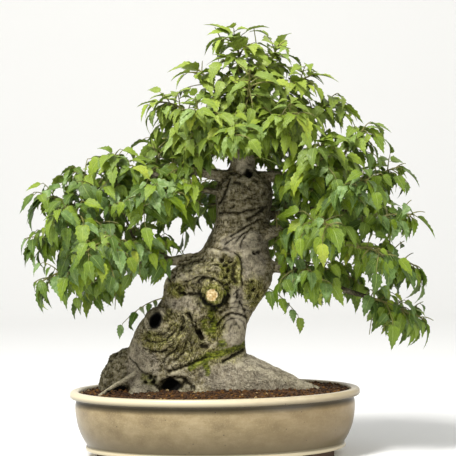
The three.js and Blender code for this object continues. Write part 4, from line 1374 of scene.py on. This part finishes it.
def outward_of(point, part):
    """Away from the middle of a part of the crown, and a little towards the nearer side."""
    x, y = MIDDLES[part]
    away = Vector((point.x - x, point.y - y, 0)).normalized()
    away.y += -0.45 if point.y < 25 else 0.45
    return away.normalized()


def extra_shoots(spray):
    seed = spray["seed"] + 500
    main = spray["shoots"][0]
    made = []
    for i in range(EXTRA_SHOOTS):
        t = mix(0.02, 0.9, i / (EXTRA_SHOOTS - 1))
        way = shoot_way(main, t)
        across = UP.cross(way).normalized()
        lifted = way.cross(across)
        angle = mix(1.6, 0.7, t) + swing(seed + i, 0.3)
        roll = 2.4 * i + swing(seed + 60 + i, 0.5)
        aside = across * math.cos(roll) + lifted * (0.8 * math.sin(roll))
        aside = way * math.cos(angle) + aside * math.sin(angle) + UP * 0.2
        length = mix(44, 24, t) * (1 + swing(seed + 40 + i, 0.25))
        sag = Vector((0, 0, -0.3))
        foot = shoot_point(main, t)
        made.append(Shoot(foot, aside.normalized(), length, Vector((0, 0, -0.3)), 1.2, 0.6, 3))
    return made


def branch_shoots():
    """Short shoots on the branches, one for each small cell of room that a branch crosses."""
    taken = set()
    made = []
    for i in range(0, len(local), 5):
        x, y, z = local[i]
        if (thick[i] > 0.3 and z < BARE_TRUNK_TO) or z < LOWEST or in_window((x, y, z)):
            continue
        gap = APEX_GAP if z > APEX_FROM else ALONG_GAP
        cell = (x // gap, y // gap, z // gap)
        if cell in taken:
            continue
        taken.add(cell)
        part = "top" if z > TOP_FROM else "left" if x < 0 else "right"
        start = Vector(local[i])
        seed = BRANCH_SEED + i
        aside = Vector(normals[i]) * 0.6 + outward_of(start, part) * 0.5
        aside += UP * (0.45 + swing(seed + 1, 0.4))
        aside += Vector((swing(seed + 2, 0.4), swing(seed + 3, 0.4), 0))
        length = 34 * (1 + swing(seed + 4, 0.4))
        sag = Vector((0, 0, -0.35))
        made.append((part, seed, Shoot(start, aside.normalized(), length, sag, 1.1, 0.6, 3)))
    return made


# %% [markdown]
# Leaves stand on alternate sides of a shoot. A leaf that finds no room is turned and tried
# again, twice at most, and is then left out. Below the crown two thin twigs hang free, and
# three bare tips reach above it.

# %% Leaves on a shoot, hanging twigs and bare tips
LEAF_SPACING = 6.2
BARE_TIPS = [
    ((20, 0, 622), (8, 0, 645)),
    ((43, -6, 608), (43, -6, 636)),
    ((71, 0, 612), (67, 0, 642)),
]


def grow_leaves(shoot, part, first, seed):
    """Leaves along a shoot, from a first share of its length."""
    count = max(2, round(shoot.length * (1 - first) / LEAF_SPACING))
    kept = []
    for i in range(count):
        t = mix(first, 1, i / (count - 1))
        own = seed + 10 * i
        small = mix(0.92, 0.5, draw(own + 60) ** 1.3)
        outward = outward_of(shoot_point(shoot, t), part)
        for attempt in range(3):
            leaf = leaf_at(shoot, t, 1 if i % 2 else -1, own, attempt, outward)
            leaf.length *= small
            leaf.width *= small * mix(0.82, 1.02, draw(own + 61))
            leaf.droop = mix(0.3, 1.5, draw(own + 62))
            probes = bent_leaf(leaf, PROBES)
            if is_free(probes):
                kept.append(leaf)
                crowd.add(probes)
                break
    return kept


def hanging_twig(start, way, length, sag):
    return Shoot(Vector(start), Vector(way), length, Vector((0, 0, sag)), 1.2, 0.6, 6)


def bare_tip(foot, tip):
    way = Vector(tip) - Vector(foot)
    return Shoot(Vector(foot), way.normalized(), way.length, Vector(), 1.1, 0.8, 2)


def dangling_leaves(shoot, seed, small):
    """Small leaves that hang from a free twig."""
    kept = []
    for i, t in enumerate((0.28, 0.42, 0.56, 0.7, 0.84, 1)):
        leaf = leaf_at(shoot, t, 1 if i % 2 else -1, seed + 10 * i, 0, Vector((0, -1, 0)))
        size = small * mix(0.8, 1.2, draw(seed + i))
        leaf.length *= size
        leaf.width *= size
        kept.append(leaf)
        crowd.add(bent_leaf(leaf, PROBES))
    return kept


# %% [markdown]
# The leaves that the solids fix come first, then those of the sprays' extra shoots, then the
# hanging twigs, and last the shoots along the branches, which take what room is left.

# %% Grow the crown
crowd = Crowd(CLEAR)
for spray in sprays.values():
    for leaf in spray["leaves"]:
        crowd.add(bent_leaf(leaf, PROBES))
for name, spray in sprays.items():
    spray["shoots"] += extra_shoots(spray)
    for index, shoot in enumerate(spray["shoots"]):
        first = 0.08 if index < 2 else 0.25
        seed = spray["seed"] + 300 + 130.7 * index
        spray["leaves"] += grow_leaves(shoot, name.split("_")[0], first, seed)
along = {part: {"shoots": [], "leaves": []} for part in MIDDLES}
twigs = {
    "left": (hanging_twig((-63, -22, 240), (-0.88, 0, 0), 84, -0.46), 0.62),
    "right": (hanging_twig((66, -16, 258), (0.78, 0, -0.22), 78, -0.4), 0.75),
}
for part, (twig, small) in twigs.items():
    along[part]["shoots"].append(twig)
    along[part]["leaves"] += dangling_leaves(twig, TWIG_SEED + twig.length, small)
along["top"]["shoots"] += [bare_tip(*ends) for ends in BARE_TIPS]
for part, seed, shoot in branch_shoots():
    leaves = grow_leaves(shoot, part, 0.3, seed)
    if leaves:
        along[part]["shoots"].append(shoot)
        along[part]["leaves"] += leaves
print("leaves on the sprays:", sum(len(s["leaves"]) for s in sprays.values()))
print("leaves along the branches:", sum(len(s["leaves"]) for s in along.values()))

# %% [markdown]
# A leaf's upper side is a waxy mid green that gleams a little, with a painted pale sheen on
# some, and its veins are paler lines that sink into it. Its underside is duller and lighter.
# Young leaves near the tips are yellower, and leaves high in the crown are painted paler and
# yellower, partly as young growth and partly as painted light from above. Each leaf has one
# tone, stored on its faces, and the veins follow the blade's own coordinates.

# %% Leaf finishes


def leaf_finish(name, stops, dark_colour, vein_colour, roughness):
    finish, tree = new_finish(name, Roughness=roughness, IOR=1.45)
    uv = add(tree, "UVMap", uv_map="blade")
    across = add(tree, "SeparateXYZ", [uv], out="X")
    upwards = add(tree, "SeparateXYZ", [uv], out="Y")
    across = add(tree, "Math", [across, 0.5], operation="SUBTRACT")
    across = add(tree, "Math", [across], operation="ABSOLUTE")
    midrib = add(tree, "MapRange", [across, 0.008, 0.034, 0.75, 0.0])
    slant = add(tree, "Math", [across, -0.9, upwards], operation="MULTIPLY_ADD")
    beat = add(tree, "Math", [slant, 44.0], operation="MULTIPLY")
    wave = add(tree, "Math", [beat], operation="SINE")
    side_veins = add(tree, "MapRange", [wave, 0.86, 1.0, 0.0, 0.4])
    veins = add(tree, "Math", [midrib, side_veins], operation="MAXIMUM")
    tone = add(tree, "Attribute", out="Fac", attribute_name="tone")
    young_and_lit = add(tree, "Attribute", out="Fac", attribute_name="young_and_lit")
    mixed = [blotches(tree, 9, 4, 0.65), 0.5, tone]
    mixed = add(tree, "Math", mixed, operation="MULTIPLY_ADD")
    mixed = add(tree, "MapRange", [mixed, 0.2, 1.28])
    freckle = add(tree, "MapRange", [blotches(tree, 2.4, 4, 0.75), 0.46, 0.64, 0.0, 0.45])
    green = add(tree, "ValToRGB", [mixed], stops=stops)
    # the pale yellow-green layer is young growth and painted light from above
    layers = (("#aebf4c", young_and_lit), (dark_colour, freckle), (vein_colour, veins))
    puckered = add(tree, "Math", [veins, freckle], operation="ADD")
    dress(tree, coats(tree, green, *layers), puckered, 0.6, 0.7, invert=True)
    return finish


leaf_upper = leaf_finish(
    "waxy_leaf_upper_side",
    [
        # painted reflection: the pale bluish stop at 0 stands for the sky's sheen on the waxy side
        (0.0, "#98af78"),
        (0.1, "#658340"),
        (0.22, "#3d580c"),
        (0.32, "#476203"),
        (0.62, "#738b0c"),
        (0.76, "#869a18"),
        (1.0, "#a3ae34"),
    ],
    "#334d06",
    "#9db05c",
    0.4,
)
under = [(0.0, "#56702c"), (0.5, "#7b9628"), (1.0, "#a6b748")]
leaf_under = leaf_finish("dull_leaf_underside", under, "#58721a", "#b2c26c", 0.6)
green_shoot, tree = new_finish("green_brown_shoot", Roughness=0.6)
stops = [(0.35, "#5a5a2c"), (0.65, "#84803f")]
dress(tree, add(tree, "ValToRGB", [blotches(tree, 8)], stops=stops))

# %% [markdown]
# The shoots of a spray are thin tapering tubes. A curve with a round bevel draws such tubes
# with a few numbers each, and is then made a mesh and joined with the spray's leaves.

# %% Build the sprays
TUBE_STEPS = 6


def shoot_tubes(shoots):
    curve = bpy.data.curves.new("shoots", "CURVE")
    curve.dimensions = "3D"
    curve.bevel_depth = MM
    curve.bevel_resolution = 1
    curve.use_fill_caps = True
    for shoot in shoots:
        line = curve.splines.new("POLY")
        line.points.add(TUBE_STEPS)
        for i, point in enumerate(line.points):
            t = i / TUBE_STEPS
            point.co = (*(POT_CENTRE + shoot_curve(shoot, t) * MM), 1)
            point.radius = mix(shoot.thick, shoot.thin, t) * 0.9
    return evaluated("shoots", curve)


def build_leaves(name, growth, stands_for=()):
    bm = bmesh.new()
    bm.from_mesh(shoot_tubes(growth["shoots"]))
    for face in bm.faces:
        face.material_index = 2
    for leaf in growth["leaves"]:
        # painted light and young growth: leaves higher in the crown are paler and yellower
        young_and_lit = 0.55 * clamp((leaf.root.z - 400) / 180) * (0.5 + draw(leaf.root.x))
        write_points(leaf_mesh, np.array(POT_CENTRE) + bent_leaf(leaf, leaf_points) * MM)
        leaf_tone.data.foreach_set("value", [leaf.tone] * len(leaf_mesh.polygons))
        leaf_young_and_lit.data.foreach_set("value", [young_and_lit] * len(leaf_mesh.polygons))
        bm.from_mesh(leaf_mesh)
    finishes = [leaf_upper, leaf_under, green_shoot]
    finish_piece(bm, "leaves_" + name, finishes, stands_for)


leaf_tone = leaf_mesh.attributes.new("tone", "FLOAT", "FACE")
leaf_young_and_lit = leaf_mesh.attributes.new("young_and_lit", "FLOAT", "FACE")
for name, spray in sprays.items():
    build_leaves(name, spray, ["spray_" + name])
for part, growth in along.items():
    if growth["leaves"]:
        build_leaves("along_" + part, growth)

# %% [markdown]
# The photograph was taken from the front, a little above the middle of the crown and aimed
# slightly down, from nearly three metres away. A plain pale sweep of paper stands under and
# behind the plant. It is clear from behind, so that the plant can be seen from any side. The
# light is soft and comes mostly from above and the left.

# %% Floor
BEND_STEPS = 10
BEND_STEP = 0.16

bm = bmesh.new()
bmesh.ops.create_grid(bm, x_segments=1, y_segments=1, size=3)
back = [edge for edge in bm.edges if all(v.co.y > 0 for v in edge.verts)]
for step in range(BEND_STEPS + 1):
    grown = bmesh.ops.extrude_edge_only(bm, edges=back)["geom"]
    back = [part for part in grown if isinstance(part, bmesh.types.BMEdge)]
    angle = (step + 1) * math.pi / 2 / BEND_STEPS
    rise = (0, BEND_STEP * math.cos(angle), BEND_STEP * math.sin(angle))
    bmesh.ops.translate(bm, verts=points_of(grown), vec=rise if step < BEND_STEPS else (0, 0, 3))
bmesh.ops.recalc_face_normals(bm, faces=bm.faces)
bmesh.ops.reverse_faces(bm, faces=bm.faces)
sweep_mesh = to_mesh(bm, "sweep")
sweep_mesh.polygons.foreach_set("use_smooth", [True] * len(sweep_mesh.polygons))
paper, tree = new_finish("pale_paper_sweep", Roughness=0.9, Base_Color=linear("#fbfaf7"))
behind = add(tree, "NewGeometry", out="Backfacing")
front_side = tree.nodes["Principled BSDF"].outputs["BSDF"]
one_sided = add(tree, "MixShader", [behind, front_side, add(tree, "BsdfTransparent")])
tree.links.new(one_sided, tree.nodes["Material Output"].inputs["Surface"])
sweep_mesh.materials.append(paper)
sweep = new_object("sweep", sweep_mesh)
sweep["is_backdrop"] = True
print("faces in the sweep:", len(sweep_mesh.polygons))

# %% [markdown]
# Two round area lights and a pale sky give the soft studio light. The camera's place, aim and
# small roll were found by laying the pot's rim and the trunk over those in the photograph.

# %% Light and camera
CAMERA_DISTANCE = 2700
CAMERA_HEIGHT = 385
CAMERA_AIM = 342
CAMERA_RIGHT = 24
HALF_VIEW = 344.3
CAMERA_ROLL = 0.85

world = bpy.data.worlds.new("soft_sky")
world.use_nodes = True
sky = world.node_tree.nodes["Background"].inputs
sky["Color"].default_value = linear("#f6f7f7")
sky["Strength"].default_value = 0.62
bpy.context.scene.world = world


def add_light(name, at, aim, size, watts):
    light = bpy.data.lights.new(name, "AREA")
    light.shape = "DISK"
    light.size = size
    light.energy = watts
    lamp = new_object(name, light)
    lamp.location = at
    lamp.rotation_euler = (Vector(aim) - Vector(at)).to_track_quat("-Z", "Y").to_euler()


add_light("key", (-1.0, -1.5, 2.9), (0, 0, 0.3), 1.0, 132)
add_light("fill", (1.9, -1.6, 1.0), (0, 0, 0.3), 1.6, 9)

lens = bpy.data.cameras.new("photo_view")
lens.sensor_width = 36
lens.lens = 18 * CAMERA_DISTANCE / HALF_VIEW
camera = new_object("photo_view", lens)
camera.location = place(CAMERA_RIGHT, -CAMERA_DISTANCE, CAMERA_HEIGHT)
dip = math.atan((CAMERA_HEIGHT - CAMERA_AIM) / CAMERA_DISTANCE)
level = Matrix.Rotation(math.radians(90) - dip, 4, "X")
rolled = Matrix.Rotation(math.radians(CAMERA_ROLL), 4, "Y") @ level
camera.rotation_euler = rolled.to_euler()
bpy.context.scene.camera = camera
bpy.context.scene.view_settings.view_transform = "Standard"
print("lens, mm:", round(lens.lens, 1))

# %% Sizes
low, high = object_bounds()
